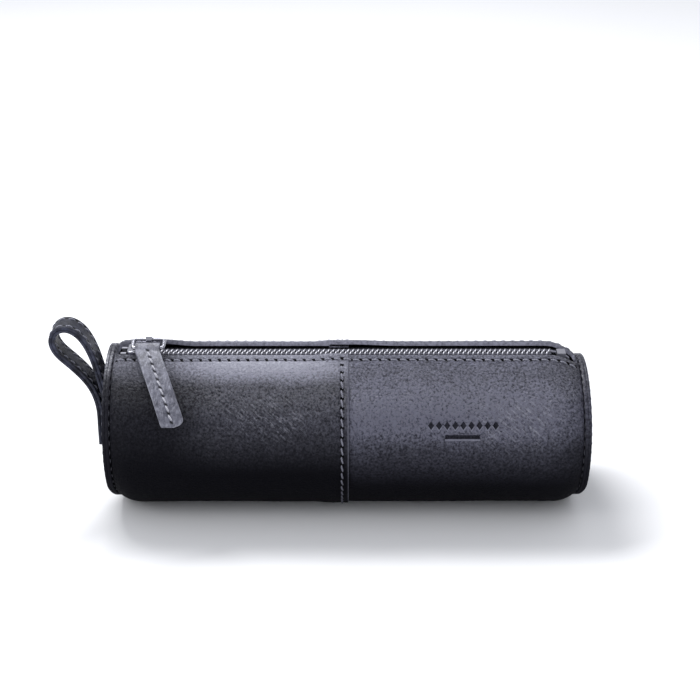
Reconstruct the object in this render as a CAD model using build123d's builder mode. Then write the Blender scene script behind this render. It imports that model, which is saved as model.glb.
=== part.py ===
"""Zipped tube case for fountain pens, as the pieces it is cut, sewn and assembled from.

Row frame, millimetres: +X along the tube away from the wrist loop, -Y the front that the leather pull
hangs over, +Z up through the zip. The origin is the centre of the flat foot that the case stands on.
"""
import os
from math import asin, cos, degrees, radians, sin, sqrt

from build123d import *

os.makedirs("parts", exist_ok=True)

# ---- the tube ----------------------------------------------------------------------------------------
CASE_LENGTH = 195.0         # over the two end panels
TUBE_RADIUS = 33.2          # outside of the leather
FOOT_SAG = 1.2              # how far the round is pressed flat where the case stands
LEATHER = 1.6               # body panels
END_LEATHER = 1.25          # end panels, cut from a thinner split
END_EDGE = 0.4              # rounding of their cut edge
SHOULDER_LENGTH = 12.0      # half axes of the rounding at each end, along the tube
SHOULDER_DROP = 8.5         # and across it
GROOVE_DEPTH = 4.6          # from the tube's outside to the groove where the leather turns out
RIM_RADIUS = 30.4           # turned-out rim and end panel
MOUTH_WIDTH = 10.4          # between the two leather lips
MOUTH_CORNER = 3.0
MOUTH_END_GAP = 0.9         # from the mouth's end to the groove

# ---- the lap seam ------------------------------------------------------------------------------------
SEAM_X = 0.6                # cut edge of the upper layer
LAP_WIDTH = 8.0
LAP_RISE = 0.6              # how far the upper layer stands proud
LAP_RAMP = 2.0              # length over which it climbs
UNDER_LAYER = 0.6           # what the skiving leaves of the lower layer

# ---- thread ------------------------------------------------------------------------------------------
THREAD = 0.33               # half its width, and how far it stands out of the leather
STITCH_SINK = 0.6           # depth at which a stitch goes into its hole
STITCH_SLOPE = 0.45         # length over which its ends slope into the holes
STITCH_PART = 0.72          # part of a pitch that shows as thread
STITCH_SLANT = 9.0          # degrees off the row
STITCH_BEVEL = 0.7          # of the thread's half width
SLOPE_REACH = 0.2           # length either side of a stitch over which the leather's slope is taken
MOUTH_PITCH, MOUTH_STITCH_INSET = 3.8, 3.7      # inset from the lip
MOUTH_ROW_MARGIN = 2.5                          # from the row's end to the groove
SEAM_PITCH, SEAM_STITCH_INSET = 3.9, 2.6        # inset from the upper layer's cut edge
SEAM_ROW_START = 7.0                            # degrees past the mouth's row, so that the two never cross
END_PITCH, END_STITCH_INSET = 3.9, 1.0          # inset from the rim's edge
LOOP_PITCH, LOOP_STITCH_INSET = 3.5, 1.9
PULL_PITCH = 3.5
PULL_ROW_START, PULL_ROW_END = 2.64, 1.04       # past the fold, and before its rounded corners

# ---- zip: a coil zip with 6 mm of teeth --------------------------------------------------------------
TAPE = 0.6
TAPE_GAP = 0.15             # from the flesh side of the leather
TAPE_EDGE = 2.6             # woven edge, from the middle of the zip
TAPE_OVERLAP = 2.0          # degrees round the tube that it reaches past its thread
TAPE_END_GAP = 3.4          # from the tape's end to the groove
COIL_PITCH = 2.0
TOOTH_WIDTH = 0.9
TOOTH_HEIGHT = 1.6
TOOTH_BACK = 3.1            # back of a tooth, from the middle of the zip
TOOTH_MESH = 0.6            # how far a tooth reaches past the middle
TOOTH_WALL = 0.45
COIL_UNDER = 0.1            # middle of the teeth below the leather's flesh side
COIL_START_INSET, COIL_END_INSET = 13.1, 13.9       # first tooth and end of the row, from the case's ends
CORD_CLEARANCE = 0.06
CORD_INSET = 0.85           # from a tooth's back to the hole for its cord
CORD_END = 0.5              # how far the cord reaches past the middle of the first tooth

SLIDER_INSET = 13.9         # its middle when closed, from the case's end
SLIDER_TRAVEL = 160.0
SLIDER_LENGTH = 11.4
SLIDER_NOSE, SLIDER_TAIL = 8.6, 7.8             # widths
SLIDER_CORNER = 1.6
SLIDER_PLATE = 1.1
SLIDER_EDGE = 0.45
SLIDER_CLEARANCE = 0.3      # over and beside the teeth
SLIDER_UNDER = 1.3          # under the teeth: the tapes dip towards the end of the tube
TOP_FLANGE_DROP = 0.75
POST_LENGTH, POST_WIDTH = 1.8, 2.4
STOP_LENGTH, STOP_HEIGHT, STOP_WIDTH = 2.2, 2.2, 1.5
STOP_GAP = 0.4              # from the closed slider's nose
STOP_EDGE = 0.4
BOTTOM_STOP_LENGTH = 3.4
BOTTOM_STOP_UNDER = 0.7     # its middle below the leather's flesh side, where the zip dips at the end

# ---- pull --------------------------------------------------------------------------------------------
WIRE = 0.8                  # link wire, radius
LINK_OFFSET = 3.2           # middle of the link, past the slider's middle
LINK_WIDTH = 12.4           # between the middles of the side wires
LINK_CORNER = 1.2
HINGE_Y, HINGE_RISE = 0.6, 3.8                  # link's rear bar, over the outside of the tube
BAR_Y, BAR_RISE = -5.7, 2.8                     # link's front bar
CROWN_LENGTH, CROWN_WALL = 2.4, 1.1
EYE_CLEARANCE = 0.1
PULL_OFFSET = 0.1           # middle of the pull's fold, past the link's
PULL_WIDTH = 9.8
PULL_LEATHER = 1.3
PULL_CORNER = 2.6
PULL_LEAN = 20.0            # degrees; the pull has taken a set to the right
PULL_STANDOFF = 1.3         # its flesh side over the outside of the tube, half way down
PULL_LIFT = 1.1             # how much further its end stands off
PULL_MID_ANGLE, PULL_END_ANGLE = 40.0, 67.0     # round the tube from the top

# ---- wrist loop --------------------------------------------------------------------------------------
LOOP_WIDTH = 11.0
LOOP_ROW_START = 2.0        # from the outer leg's end
LOOP_BARE_OUTSIDE, LOOP_BARE_INSIDE = 20.0, 20.8    # lengths left unsewn where the legs lie together
STRIP = 1.3                 # each of its two layers
ANCHOR_HALF = 1.75          # two stitches side by side, between the loop's rows
ANCHOR_HEIGHTS = (-6.2, -0.6)                   # over the tube's axis
# middle of the doubled strip from the outer leg's end over the top to the inner leg's end: how far it
# stands out from the end panel, and its height over the tube's axis
LOOP_ROUTE = [(4.05, -8.0), (4.05, 1.0), (4.2, 8.5), (5.5, 14.6), (7.8, 19.6), (11.6, 24.6), (15.7, 28.9),
              (19.1, 32.4), (21.0, 35.6), (21.5, 38.9), (19.9, 42.3), (16.1, 43.7), (11.5, 41.6), (7.7, 36.2),
              (5.4, 30.0), (3.8, 23.6), (2.2, 16.0), (1.4, 8.0), (1.4, -8.0)]

# ---- what follows from those sizes -------------------------------------------------------------------
AXIS_Z = TUBE_RADIUS - FOOT_SAG
COIL_START = COIL_START_INSET - CASE_LENGTH / 2
COIL_END = CASE_LENGTH / 2 - COIL_END_INSET
SLIDER_X = SLIDER_INSET - CASE_LENGTH / 2
LINK_X = SLIDER_X + LINK_OFFSET
PULL_X = LINK_X + PULL_OFFSET
LOOP_PATH = [(-CASE_LENGTH / 2 - out, height) for out, height in LOOP_ROUTE]
RIM_X = CASE_LENGTH / 2 - END_LEATHER           # where rim and end panel meet
GROOVE_X = RIM_X - LEATHER
GROOVE_RADIUS = TUBE_RADIUS - GROOVE_DEPTH
SHOULDER_CENTRE = TUBE_RADIUS - SHOULDER_DROP
SHOULDER_X = GROOVE_X - SHOULDER_LENGTH * sqrt(1 - ((GROOVE_RADIUS - SHOULDER_CENTRE) / SHOULDER_DROP) ** 2)
LAP_X = SEAM_X - LAP_WIDTH                      # cut edge of the lower layer
LAP_LEVEL = LEATHER - UNDER_LAYER               # depth at which the two layers meet
LIP_ANGLE = degrees(asin(MOUTH_WIDTH / 2 / TUBE_RADIUS))
MOUTH_STITCH_ANGLE = LIP_ANGLE + degrees(MOUTH_STITCH_INSET / TUBE_RADIUS)
COIL_Z = AXIS_Z + TUBE_RADIUS - LEATHER - COIL_UNDER
TOP_Z = AXIS_Z + TUBE_RADIUS

tube_axis = Axis((0, 0, AXIS_Z), (1, 0, 0))
wall_plane = Plane(origin=(0, 0, AXIS_Z), x_dir=(1, 0, 0), z_dir=(0, -1, 0))


def ring_plane(x):
    """Plane across the tube: local x to the back, local y up, normal to the right."""
    return Plane(origin=(x, 0, AXIS_Z), x_dir=(0, 1, 0), z_dir=(1, 0, 0))


def on_tube(x, from_top, radius):
    """Point at an angle round the tube, measured from the top towards the front."""
    return Vector(x, -radius * sin(radians(from_top)), AXIS_Z + radius * cos(radians(from_top)))


def outward(from_top):
    return Vector(0, -sin(radians(from_top)), cos(radians(from_top)))


# ---- leather wall: the round blank, and the room inside it -------------------------------------------
groove_height = GROOVE_RADIUS - SHOULDER_CENTRE
groove_angle = degrees(asin(groove_height / SHOULDER_DROP))
groove_normal = Vector((GROOVE_X - SHOULDER_X) / SHOULDER_LENGTH ** 2,
                       groove_height / SHOULDER_DROP ** 2).normalized()
flesh_angle = degrees(asin((groove_height - LEATHER * groove_normal.Y) / (SHOULDER_DROP - LEATHER)))

with BuildPart() as tube_half:
    with BuildSketch(wall_plane):
        with BuildLine():
            shoulder = EllipticalCenterArc((SHOULDER_X, SHOULDER_CENTRE), SHOULDER_LENGTH, SHOULDER_DROP,
                                           groove_angle, arc_size=90 - groove_angle)
            Polyline(shoulder @ 1, (0, TUBE_RADIUS), (0, 0), (RIM_X, 0), (RIM_X, RIM_RADIUS),
                     (GROOVE_X, RIM_RADIUS), shoulder @ 0)
        make_face()
    revolve(axis=tube_axis)
    split(bisect_by=Plane.XY, keep=Keep.TOP)

with BuildPart() as room:
    with BuildSketch(wall_plane):
        with BuildLine():
            flesh = EllipticalCenterArc((SHOULDER_X, SHOULDER_CENTRE), SHOULDER_LENGTH - LEATHER,
                                        SHOULDER_DROP - LEATHER, flesh_angle, arc_size=90 - flesh_angle)
            turn_out = RadiusArc(flesh @ 0, (RIM_X, GROOVE_RADIUS), -LEATHER)
            Polyline(flesh @ 1, (0, TUBE_RADIUS - LEATHER), (0, 0), (RIM_X, 0), turn_out @ 1)
        make_face()
    revolve(axis=tube_axis)
    split(bisect_by=Plane.XY.offset(LEATHER), keep=Keep.TOP)
    mirror(about=Plane.YZ)

# the zip's mouth, cut through the top of both panels
with BuildPart() as mouth:
    with BuildSketch(Plane.XY.offset(AXIS_Z)):
        RectangleRounded(2 * (GROOVE_X - MOUTH_END_GAP), MOUTH_WIDTH, MOUTH_CORNER)
    extrude(amount=2 * TUBE_RADIUS)

# what the skived lower layer of the lap seam fills, down to the middle of the tube
with BuildPart() as under_lap:
    with BuildSketch(ring_plane(LAP_X)):
        Circle(TUBE_RADIUS - LAP_LEVEL)
    extrude(amount=LAP_WIDTH)
    split(bisect_by=Plane.XY.offset(LAP_LEVEL), keep=Keep.TOP)

# the upper layer of the lap seam climbs over it
with BuildPart() as over_lap:
    with BuildSketch(wall_plane):
        with BuildLine():
            Polyline((LAP_X - LAP_RAMP, 0), (LAP_X - LAP_RAMP, TUBE_RADIUS), (LAP_X, TUBE_RADIUS + LAP_RISE),
                     (SEAM_X, TUBE_RADIUS + LAP_RISE), (SEAM_X, 0), close=True)
        make_face()
    revolve(axis=tube_axis)
    split(bisect_by=Plane.XY, keep=Keep.TOP)

with BuildPart() as right_body_panel:
    add(tube_half.part)
    split(bisect_by=Plane.YZ.offset(SEAM_X), keep=Keep.TOP)
    add(under_lap.part)
    add(room.part, mode=Mode.SUBTRACT)
    add(mouth.part, mode=Mode.SUBTRACT)

with BuildPart() as left_body_panel:
    mirror(tube_half.part, about=Plane.YZ)
    split(bisect_by=Plane.YZ.offset(LAP_X - LAP_RAMP), keep=Keep.BOTTOM)
    add(over_lap.part)
    add(under_lap.part, mode=Mode.SUBTRACT)
    add(room.part, mode=Mode.SUBTRACT)
    add(mouth.part, mode=Mode.SUBTRACT)

with BuildPart() as right_end_panel:
    with BuildSketch(ring_plane(RIM_X)):
        Circle(RIM_RADIUS)
    extrude(amount=END_LEATHER)
    fillet(right_end_panel.edges().group_by(Axis.X)[-1], END_EDGE)

with BuildPart() as left_end_panel:
    mirror(right_end_panel.part, about=Plane.YZ)

# ---- wrist loop: two strips glued face to face, both legs laid together on the left end panel --------
path_points = [Vector(x, height) for x, height in LOOP_PATH]


def strip_side(distance):
    """Points of the loop's path moved sideways, positive to the outside of the loop."""
    moved = []
    for i, point in enumerate(path_points):
        before, after = path_points[max(i - 1, 0)], path_points[min(i + 1, len(path_points) - 1)]
        along = (after - before).normalized()
        moved.append(point + Vector(-along.Y, along.X) * distance)
    return [(point.X, point.Y) for point in moved]


def loop_strip(low, high):
    with BuildPart() as strip:
        with BuildSketch(wall_plane):
            with BuildLine():
                hair = Spline(*strip_side(high), tangents=((0, 1), (0, -1)))
                flesh_side = Spline(*strip_side(low), tangents=((0, 1), (0, -1)))
                Line(hair @ 0, flesh_side @ 0)
                Line(hair @ 1, flesh_side @ 1)
            make_face()
        extrude(amount=LOOP_WIDTH / 2, both=True)
    return strip.part


with BuildPart() as loop_outer_strip:
    add(loop_strip(0, STRIP))

with BuildPart() as loop_inner_strip:
    add(loop_strip(-STRIP, 0))

# ---- zip tapes, woven, sewn under the lips -----------------------------------------------------------
TAPE_TOP = LEATHER + TAPE_GAP
TAPE_END = GROOVE_X - TAPE_END_GAP


def tape_blank(depth):
    with BuildPart() as blank:
        with BuildSketch(wall_plane):
            with BuildLine():
                edge = EllipticalCenterArc((SHOULDER_X, SHOULDER_CENTRE), SHOULDER_LENGTH - depth,
                                           SHOULDER_DROP - depth, 0, arc_size=90)
                Polyline(edge @ 1, (0, TUBE_RADIUS - depth), (0, 0), ((edge @ 0).X, 0), edge @ 0)
            make_face()
        revolve(axis=tube_axis)
        mirror(about=Plane.YZ)
    return blank.part


with BuildPart() as front_zip_tape:
    add(tape_blank(TAPE_TOP))
    add(tape_blank(TAPE_TOP + TAPE), mode=Mode.SUBTRACT)
    with BuildSketch(Plane.XY.offset(AXIS_Z)):
        reach = (TUBE_RADIUS - TAPE_TOP) * sin(radians(MOUTH_STITCH_ANGLE + TAPE_OVERLAP))
        with Locations((0, -(reach + TAPE_EDGE) / 2)):
            Rectangle(2 * TAPE_END, reach - TAPE_EDGE)
    extrude(amount=TUBE_RADIUS, mode=Mode.INTERSECT)

with BuildPart() as back_zip_tape:
    mirror(front_zip_tape.part, about=Plane.XZ)

# ---- coils: each tooth is one loop of the flattened coil round its filler cord -----------------------
tooth_reach = TOOTH_BACK + TOOTH_MESH
tooth_middle = (TOOTH_BACK - TOOTH_MESH) / 2
cord_length = tooth_reach - TOOTH_HEIGHT - TOOTH_WALL
cord_middle = TOOTH_BACK - CORD_INSET - cord_length / 2
hole_height = TOOTH_HEIGHT - 2 * TOOTH_WALL

with BuildPart() as tooth:
    with BuildSketch(Plane.YZ):
        with Locations((-tooth_middle, 0)):
            SlotOverall(tooth_reach, TOOTH_HEIGHT)
        with Locations((-cord_middle, 0)):
            SlotOverall(cord_length, hole_height, mode=Mode.SUBTRACT)
    extrude(amount=TOOTH_WIDTH / 2, both=True)

tooth_count = int((COIL_END - COIL_START - COIL_PITCH / 2) / COIL_PITCH) + 1

with BuildPart() as front_zip_coil:
    with Locations(*[(COIL_START + i * COIL_PITCH, 0, COIL_Z) for i in range(tooth_count)]):
        add(tooth.part)

with BuildPart() as back_zip_coil:
    with Locations((COIL_PITCH / 2, 0, 0)):
        add(mirror(front_zip_coil.part, about=Plane.XZ, mode=Mode.PRIVATE))

with BuildPart() as front_coil_cord:
    with BuildSketch(Plane.YZ.offset(COIL_START - CORD_END)):
        with Locations((-cord_middle, COIL_Z)):
            SlotOverall(cord_length - 2 * CORD_CLEARANCE, hole_height - 2 * CORD_CLEARANCE)
    extrude(amount=COIL_END - COIL_START)

with BuildPart() as back_coil_cord:
    mirror(front_coil_cord.part, about=Plane.XZ)

# ---- stops -------------------------------------------------------------------------------------------
with BuildPart() as front_top_stop:
    with Locations((SLIDER_X - SLIDER_LENGTH / 2 - STOP_GAP - STOP_LENGTH / 2, -TAPE_EDGE, COIL_Z)):
        Box(STOP_LENGTH, STOP_WIDTH, STOP_HEIGHT)
    fillet(front_top_stop.edges().filter_by(Axis.X), STOP_EDGE)

with BuildPart() as back_top_stop:
    mirror(front_top_stop.part, about=Plane.XZ)

with BuildPart() as bottom_stop:
    with Locations((COIL_END + COIL_PITCH + BOTTOM_STOP_LENGTH / 2, 0,
                    TOP_Z - LEATHER - BOTTOM_STOP_UNDER)):
        Box(BOTTOM_STOP_LENGTH, 2 * (TAPE_EDGE - TAPE_GAP), STOP_HEIGHT)
    fillet(bottom_stop.edges().filter_by(Axis.X), STOP_EDGE)

# ---- slider ------------------------------------------------------------------------------------------
channel_floor = COIL_Z - TOOTH_HEIGHT / 2 - SLIDER_UNDER
channel_roof = COIL_Z + TOOTH_HEIGHT / 2 + SLIDER_CLEARANCE
channel_side = TOOTH_BACK + SLIDER_CLEARANCE
slider_nose, slider_tail = SLIDER_X - SLIDER_LENGTH / 2, SLIDER_X + SLIDER_LENGTH / 2

with BuildPart() as slider_body:
    with BuildSketch(Plane.XY.offset(channel_floor - SLIDER_PLATE)) as slider_outline:
        with BuildLine():
            Polyline((slider_nose, -SLIDER_NOSE / 2), (slider_nose, SLIDER_NOSE / 2),
                     (SLIDER_X, SLIDER_NOSE / 2), (slider_tail, SLIDER_TAIL / 2),
                     (slider_tail, -SLIDER_TAIL / 2), (SLIDER_X, -SLIDER_NOSE / 2), close=True)
        make_face()
        fillet(slider_outline.vertices(), SLIDER_CORNER)
    extrude(amount=channel_roof - channel_floor + 2 * SLIDER_PLATE)
    # the teeth's channel between the plates, and the slots at each side that the tapes leave by
    with Locations((SLIDER_X, 0, channel_floor)):
        Box(2 * SLIDER_LENGTH, 2 * channel_side, channel_roof - channel_floor, mode=Mode.SUBTRACT,
            align=(Align.CENTER, Align.CENTER, Align.MIN))
        Box(2 * SLIDER_LENGTH, 2 * SLIDER_NOSE, channel_roof - channel_floor - TOP_FLANGE_DROP,
            mode=Mode.SUBTRACT, align=(Align.CENTER, Align.CENTER, Align.MIN))
    with Locations((slider_nose + POST_LENGTH, 0, channel_floor)):
        Box(POST_LENGTH, POST_WIDTH, channel_roof - channel_floor,
            align=(Align.CENTER, Align.CENTER, Align.MIN))
    fillet(slider_body.faces().sort_by(Axis.Z)[-1].edges(), SLIDER_EDGE)
    fillet(slider_body.faces().sort_by(Axis.Z)[0].edges(), SLIDER_EDGE)

SLIDER_TOP = channel_roof + SLIDER_PLATE
HINGE_Z = TOP_Z + HINGE_RISE
BAR_Z = TOP_Z + BAR_RISE
eye = WIRE + EYE_CLEARANCE

with BuildPart() as slider_crown:
    with BuildSketch(Plane.YZ.offset(LINK_X - CROWN_LENGTH / 2)):
        with Locations((HINGE_Y, HINGE_Z)):
            Circle(eye + CROWN_WALL)
        with Locations((HINGE_Y, (HINGE_Z + SLIDER_TOP) / 2)):
            Rectangle(2 * (eye + CROWN_WALL), HINGE_Z - SLIDER_TOP)
        with Locations((HINGE_Y, HINGE_Z)):
            Circle(eye, mode=Mode.SUBTRACT)
    extrude(amount=CROWN_LENGTH)

# ---- link --------------------------------------------------------------------------------------------
link_reach = sqrt((HINGE_Y - BAR_Y) ** 2 + (HINGE_Z - BAR_Z) ** 2)
link_plane = Plane(origin=(LINK_X, (HINGE_Y + BAR_Y) / 2, (HINGE_Z + BAR_Z) / 2), x_dir=(1, 0, 0),
                   z_dir=Vector(0, -(HINGE_Z - BAR_Z), HINGE_Y - BAR_Y).normalized())

with BuildSketch(link_plane) as link_shape:
    RectangleRounded(LINK_WIDTH, link_reach, LINK_CORNER)

with BuildPart() as pull_link:
    with BuildSketch(Plane(origin=(LINK_X, HINGE_Y, HINGE_Z), z_dir=(1, 0, 0))):
        Circle(WIRE)
    sweep(path=link_shape.sketch.face().outer_wire())

# ---- leather pull: a strip folded over the link's front bar and sewn to itself -----------------------
fold_radius = WIRE + EYE_CLEARANCE
pull_middle = TUBE_RADIUS + PULL_STANDOFF + PULL_LEATHER
bar = Vector(BAR_Y, BAR_Z - AXIS_Z)
half_way = Vector(-sin(radians(PULL_MID_ANGLE)), cos(radians(PULL_MID_ANGLE))) * pull_middle
pull_end = Vector(-sin(radians(PULL_END_ANGLE)), cos(radians(PULL_END_ANGLE))) * (pull_middle + PULL_LIFT)
pull_arc = ThreePointArc((bar.X, bar.Y), (half_way.X, half_way.Y), (pull_end.X, pull_end.Y))
# the strip's outline is cut square to its middle, with its upper edge at the link's front bar
facing = (PULL_END_ANGLE + degrees(asin(-BAR_Y / bar.length))) / 2
pull_plane = Plane(origin=(PULL_X, BAR_Y, BAR_Z), x_dir=(1, 0, 0), z_dir=outward(facing))
pull_drop = -pull_plane.to_local_coords(Vector(PULL_X, pull_end.X, AXIS_Z + pull_end.Y)).Y
lean = Vector(sin(radians(PULL_LEAN)), -cos(radians(PULL_LEAN)))
shoulder_drop = fold_radius + PULL_LEATHER
lean_length = (pull_drop - shoulder_drop) / cos(radians(PULL_LEAN))
skew = PULL_WIDTH / 2 * sin(radians(PULL_LEAN))
corners = [Vector(side * PULL_WIDTH / 2, -shoulder_drop) + lean * (lean_length - side * skew)
           for side in (-1, 1)]

with BuildSketch(pull_plane) as pull_outline:
    with BuildLine():
        Polyline((corners[0].X, corners[0].Y), (-PULL_WIDTH / 2, -shoulder_drop),
                 (-PULL_WIDTH / 2, shoulder_drop), (PULL_WIDTH / 2, shoulder_drop),
                 (PULL_WIDTH / 2, -shoulder_drop), (corners[1].X, corners[1].Y), close=True)
    make_face()
    fillet(pull_outline.vertices().sort_by(Axis.Y)[:2], PULL_CORNER)

with BuildPart() as leather_pull:
    with BuildSketch(ring_plane(PULL_X - 2 * PULL_WIDTH)):
        with BuildLine():
            add(pull_arc)
        trace(line_width=2 * PULL_LEATHER)
        with Locations((bar.X, bar.Y)):
            Circle(fold_radius + PULL_LEATHER)
            Circle(fold_radius, mode=Mode.SUBTRACT)
    extrude(amount=6 * PULL_WIDTH)
    add(extrude(pull_outline.sketch, amount=TUBE_RADIUS, both=True, mode=Mode.PRIVATE), mode=Mode.INTERSECT)


# ---- thread: every stitch is a short bar of waxed thread that slopes into the leather at both ends ---
def stitch(pitch):
    """One stitch, local x along its row and z out of the leather."""
    half = pitch * STITCH_PART / 2
    with BuildPart() as thread:
        with BuildSketch(Plane.XZ):
            with BuildLine():
                Polyline((-half, -STITCH_SINK), (STITCH_SLOPE - half, THREAD), (half - STITCH_SLOPE, THREAD),
                         (half, -STITCH_SINK), close=True)
            make_face()
        extrude(amount=THREAD, both=True)
        chamfer(thread.faces().sort_by(Axis.Z)[-1].edges().filter_by(Axis.X), THREAD * STITCH_BEVEL)
    return thread.part


def sew(pitch, places):
    """Stitches at the given points, each with its row's direction and the leather's outward normal."""
    planes = [Plane(origin=point, x_dir=along, z_dir=normal).rotated((0, 0, STITCH_SLANT))
              for point, along, normal in places]
    with BuildPart() as row:
        with Locations(*[plane.location for plane in planes]):
            add(stitch(pitch))
    return row.part


def spread(low, high, pitch):
    count = int((high - low) / pitch) + 1
    start = (low + high - (count - 1) * pitch) / 2
    return [start + i * pitch for i in range(count)]


def wall_radius(x):
    """Outside of the leather along the tube, with the raised layer of the lap seam."""
    past = abs(x) - SHOULDER_X
    if past > 0:
        return SHOULDER_CENTRE + SHOULDER_DROP * sqrt(1 - (past / SHOULDER_LENGTH) ** 2)
    climb = min(max((x - LAP_X + LAP_RAMP) / LAP_RAMP, 0), 1) if x < SEAM_X else 0
    return TUBE_RADIUS + LAP_RISE * climb


def mouth_row(side):
    places = []
    for x in spread(-GROOVE_X + MOUTH_ROW_MARGIN, GROOVE_X - MOUTH_ROW_MARGIN, MOUTH_PITCH):
        rise = 0
        if abs(x) > SHOULDER_X:
            rise = (wall_radius(x + SLOPE_REACH) - wall_radius(x - SLOPE_REACH)) / (2 * SLOPE_REACH)
        up = outward(side * MOUTH_STITCH_ANGLE)
        along = Vector(1, rise * up.Y, rise * up.Z)
        places.append((on_tube(x, side * MOUTH_STITCH_ANGLE, wall_radius(x)), along, up - Vector(rise, 0, 0)))
    return places


with BuildPart() as front_mouth_stitches:
    add(sew(MOUTH_PITCH, mouth_row(1)))

with BuildPart() as back_mouth_stitches:
    add(sew(MOUTH_PITCH, mouth_row(-1)))

# the lap seam's row runs round the tube and lies pressed into the leather where the case stands
seam_row_x = SEAM_X - SEAM_STITCH_INSET
seam_radius = TUBE_RADIUS + LAP_RISE
foot_row_z = 1.5 * THREAD
seam_places = []
seam_start = MOUTH_STITCH_ANGLE + SEAM_ROW_START
for angle in spread(seam_start, 360 - seam_start, degrees(SEAM_PITCH / seam_radius)):
    point = on_tube(seam_row_x, angle, seam_radius)
    around = Vector(0, -cos(radians(angle)), -sin(radians(angle)))
    if point.Z < foot_row_z:
        seam_places.append((Vector(point.X, point.Y, foot_row_z), Vector(0, 1, 0), Vector(0, 0, -1)))
    else:
        seam_places.append((point, around, outward(angle)))

with BuildPart() as centre_seam_stitches:
    add(sew(SEAM_PITCH, seam_places))

end_row_radius = RIM_RADIUS - END_STITCH_INSET
end_angles = spread(0, 360 - degrees(END_PITCH / end_row_radius), degrees(END_PITCH / end_row_radius))
end_places = []
for angle in end_angles:
    around = Vector(0, -cos(radians(angle)), -sin(radians(angle)))
    end_places.append((on_tube(CASE_LENGTH / 2, angle, end_row_radius), around, Vector(1, 0, 0)))
    end_places.append((on_tube(GROOVE_X, angle, end_row_radius), around, Vector(-1, 0, 0)))

with BuildPart() as right_end_stitches:
    add(sew(END_PITCH, end_places))

with BuildPart() as left_end_stitches:
    mirror(right_end_stitches.part, about=Plane.YZ)

loop_line = Spline(*LOOP_PATH, tangents=((0, 1), (0, -1)))


def loop_row(first, last, face):
    """Two rows along a stretch of the loop; face is +1 on its outside and -1 inside."""
    places = []
    for distance in spread(first, last, LOOP_PITCH):
        t = distance / loop_line.length
        point, along = loop_line.position_at(t), loop_line.tangent_at(t)
        normal = Vector(-along.Y, 0, along.X) * face
        middle = Vector(point.X, 0, AXIS_Z + point.Y) + normal * STRIP
        for edge in (-1, 1):
            places.append((middle + Vector(0, edge * (LOOP_WIDTH / 2 - LOOP_STITCH_INSET), 0),
                           Vector(along.X, 0, along.Y), normal))
    return places


with BuildPart() as loop_stitches:
    add(sew(LOOP_PITCH, loop_row(LOOP_ROW_START, loop_line.length - LOOP_BARE_OUTSIDE, 1)
            + loop_row(LOOP_BARE_INSIDE, loop_line.length - LOOP_BARE_INSIDE, -1)))

with BuildPart() as loop_anchor_stitches:
    add(sew(LOOP_PITCH, [(Vector(LOOP_PATH[0][0] - STRIP, side * ANCHOR_HALF, AXIS_Z + height),
                          Vector(0, 1, 0), Vector(-1, 0, 0))
                         for height in ANCHOR_HEIGHTS for side in (-1, 1)]))

# the pull's single row, seen on both its faces
pull_places = []
for distance in spread(shoulder_drop + PULL_ROW_START, pull_arc.length - PULL_CORNER - PULL_ROW_END,
                       PULL_PITCH):
    t = distance / pull_arc.length
    point, along = pull_arc.position_at(t), pull_arc.tangent_at(t)
    down = Vector(0, along.X, along.Y)
    dropped = -pull_plane.to_local_coords(Vector(PULL_X, point.X, AXIS_Z + point.Y)).Y
    shift = (dropped - shoulder_drop) * sin(radians(PULL_LEAN)) / cos(radians(PULL_LEAN))
    middle = Vector(PULL_X + shift, point.X, AXIS_Z + point.Y)
    normal = Vector(0, along.Y, -along.X)
    normal = normal if normal.Y < 0 else normal * -1
    row = down + Vector(sin(radians(PULL_LEAN)), 0, 0)
    for face in (-1, 1):
        pull_places.append((middle + normal * PULL_LEATHER * face, row, normal * face))

with BuildPart() as pull_stitches:
    add(sew(PULL_PITCH, pull_places))

pieces = {
    "left_body_panel": left_body_panel, "right_body_panel": right_body_panel,
    "left_end_panel": left_end_panel, "right_end_panel": right_end_panel,
    "centre_seam_stitches": centre_seam_stitches,
    "front_mouth_stitches": front_mouth_stitches, "back_mouth_stitches": back_mouth_stitches,
    "left_end_stitches": left_end_stitches, "right_end_stitches": right_end_stitches,
    "loop_outer_strip": loop_outer_strip, "loop_inner_strip": loop_inner_strip,
    "loop_stitches": loop_stitches, "loop_anchor_stitches": loop_anchor_stitches,
    "front_zip_tape": front_zip_tape, "back_zip_tape": back_zip_tape,
    "front_zip_coil": front_zip_coil, "back_zip_coil": back_zip_coil,
    "front_coil_cord": front_coil_cord, "back_coil_cord": back_coil_cord,
    "front_top_stop": front_top_stop, "back_top_stop": back_top_stop, "bottom_stop": bottom_stop,
    "slider_body": slider_body, "slider_crown": slider_crown, "pull_link": pull_link,
    "leather_pull": leather_pull, "pull_stitches": pull_stitches,
}
for name, piece in pieces.items():
    piece.part.label = name
    export_step(piece.part, f"parts/{name}.step")
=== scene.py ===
"""Looks of the zipped leather pen case: the leather, thread, zip and pull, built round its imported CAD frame.

Lengths are millimetres until a mesh is made, which holds metres.
"""
import math

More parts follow.
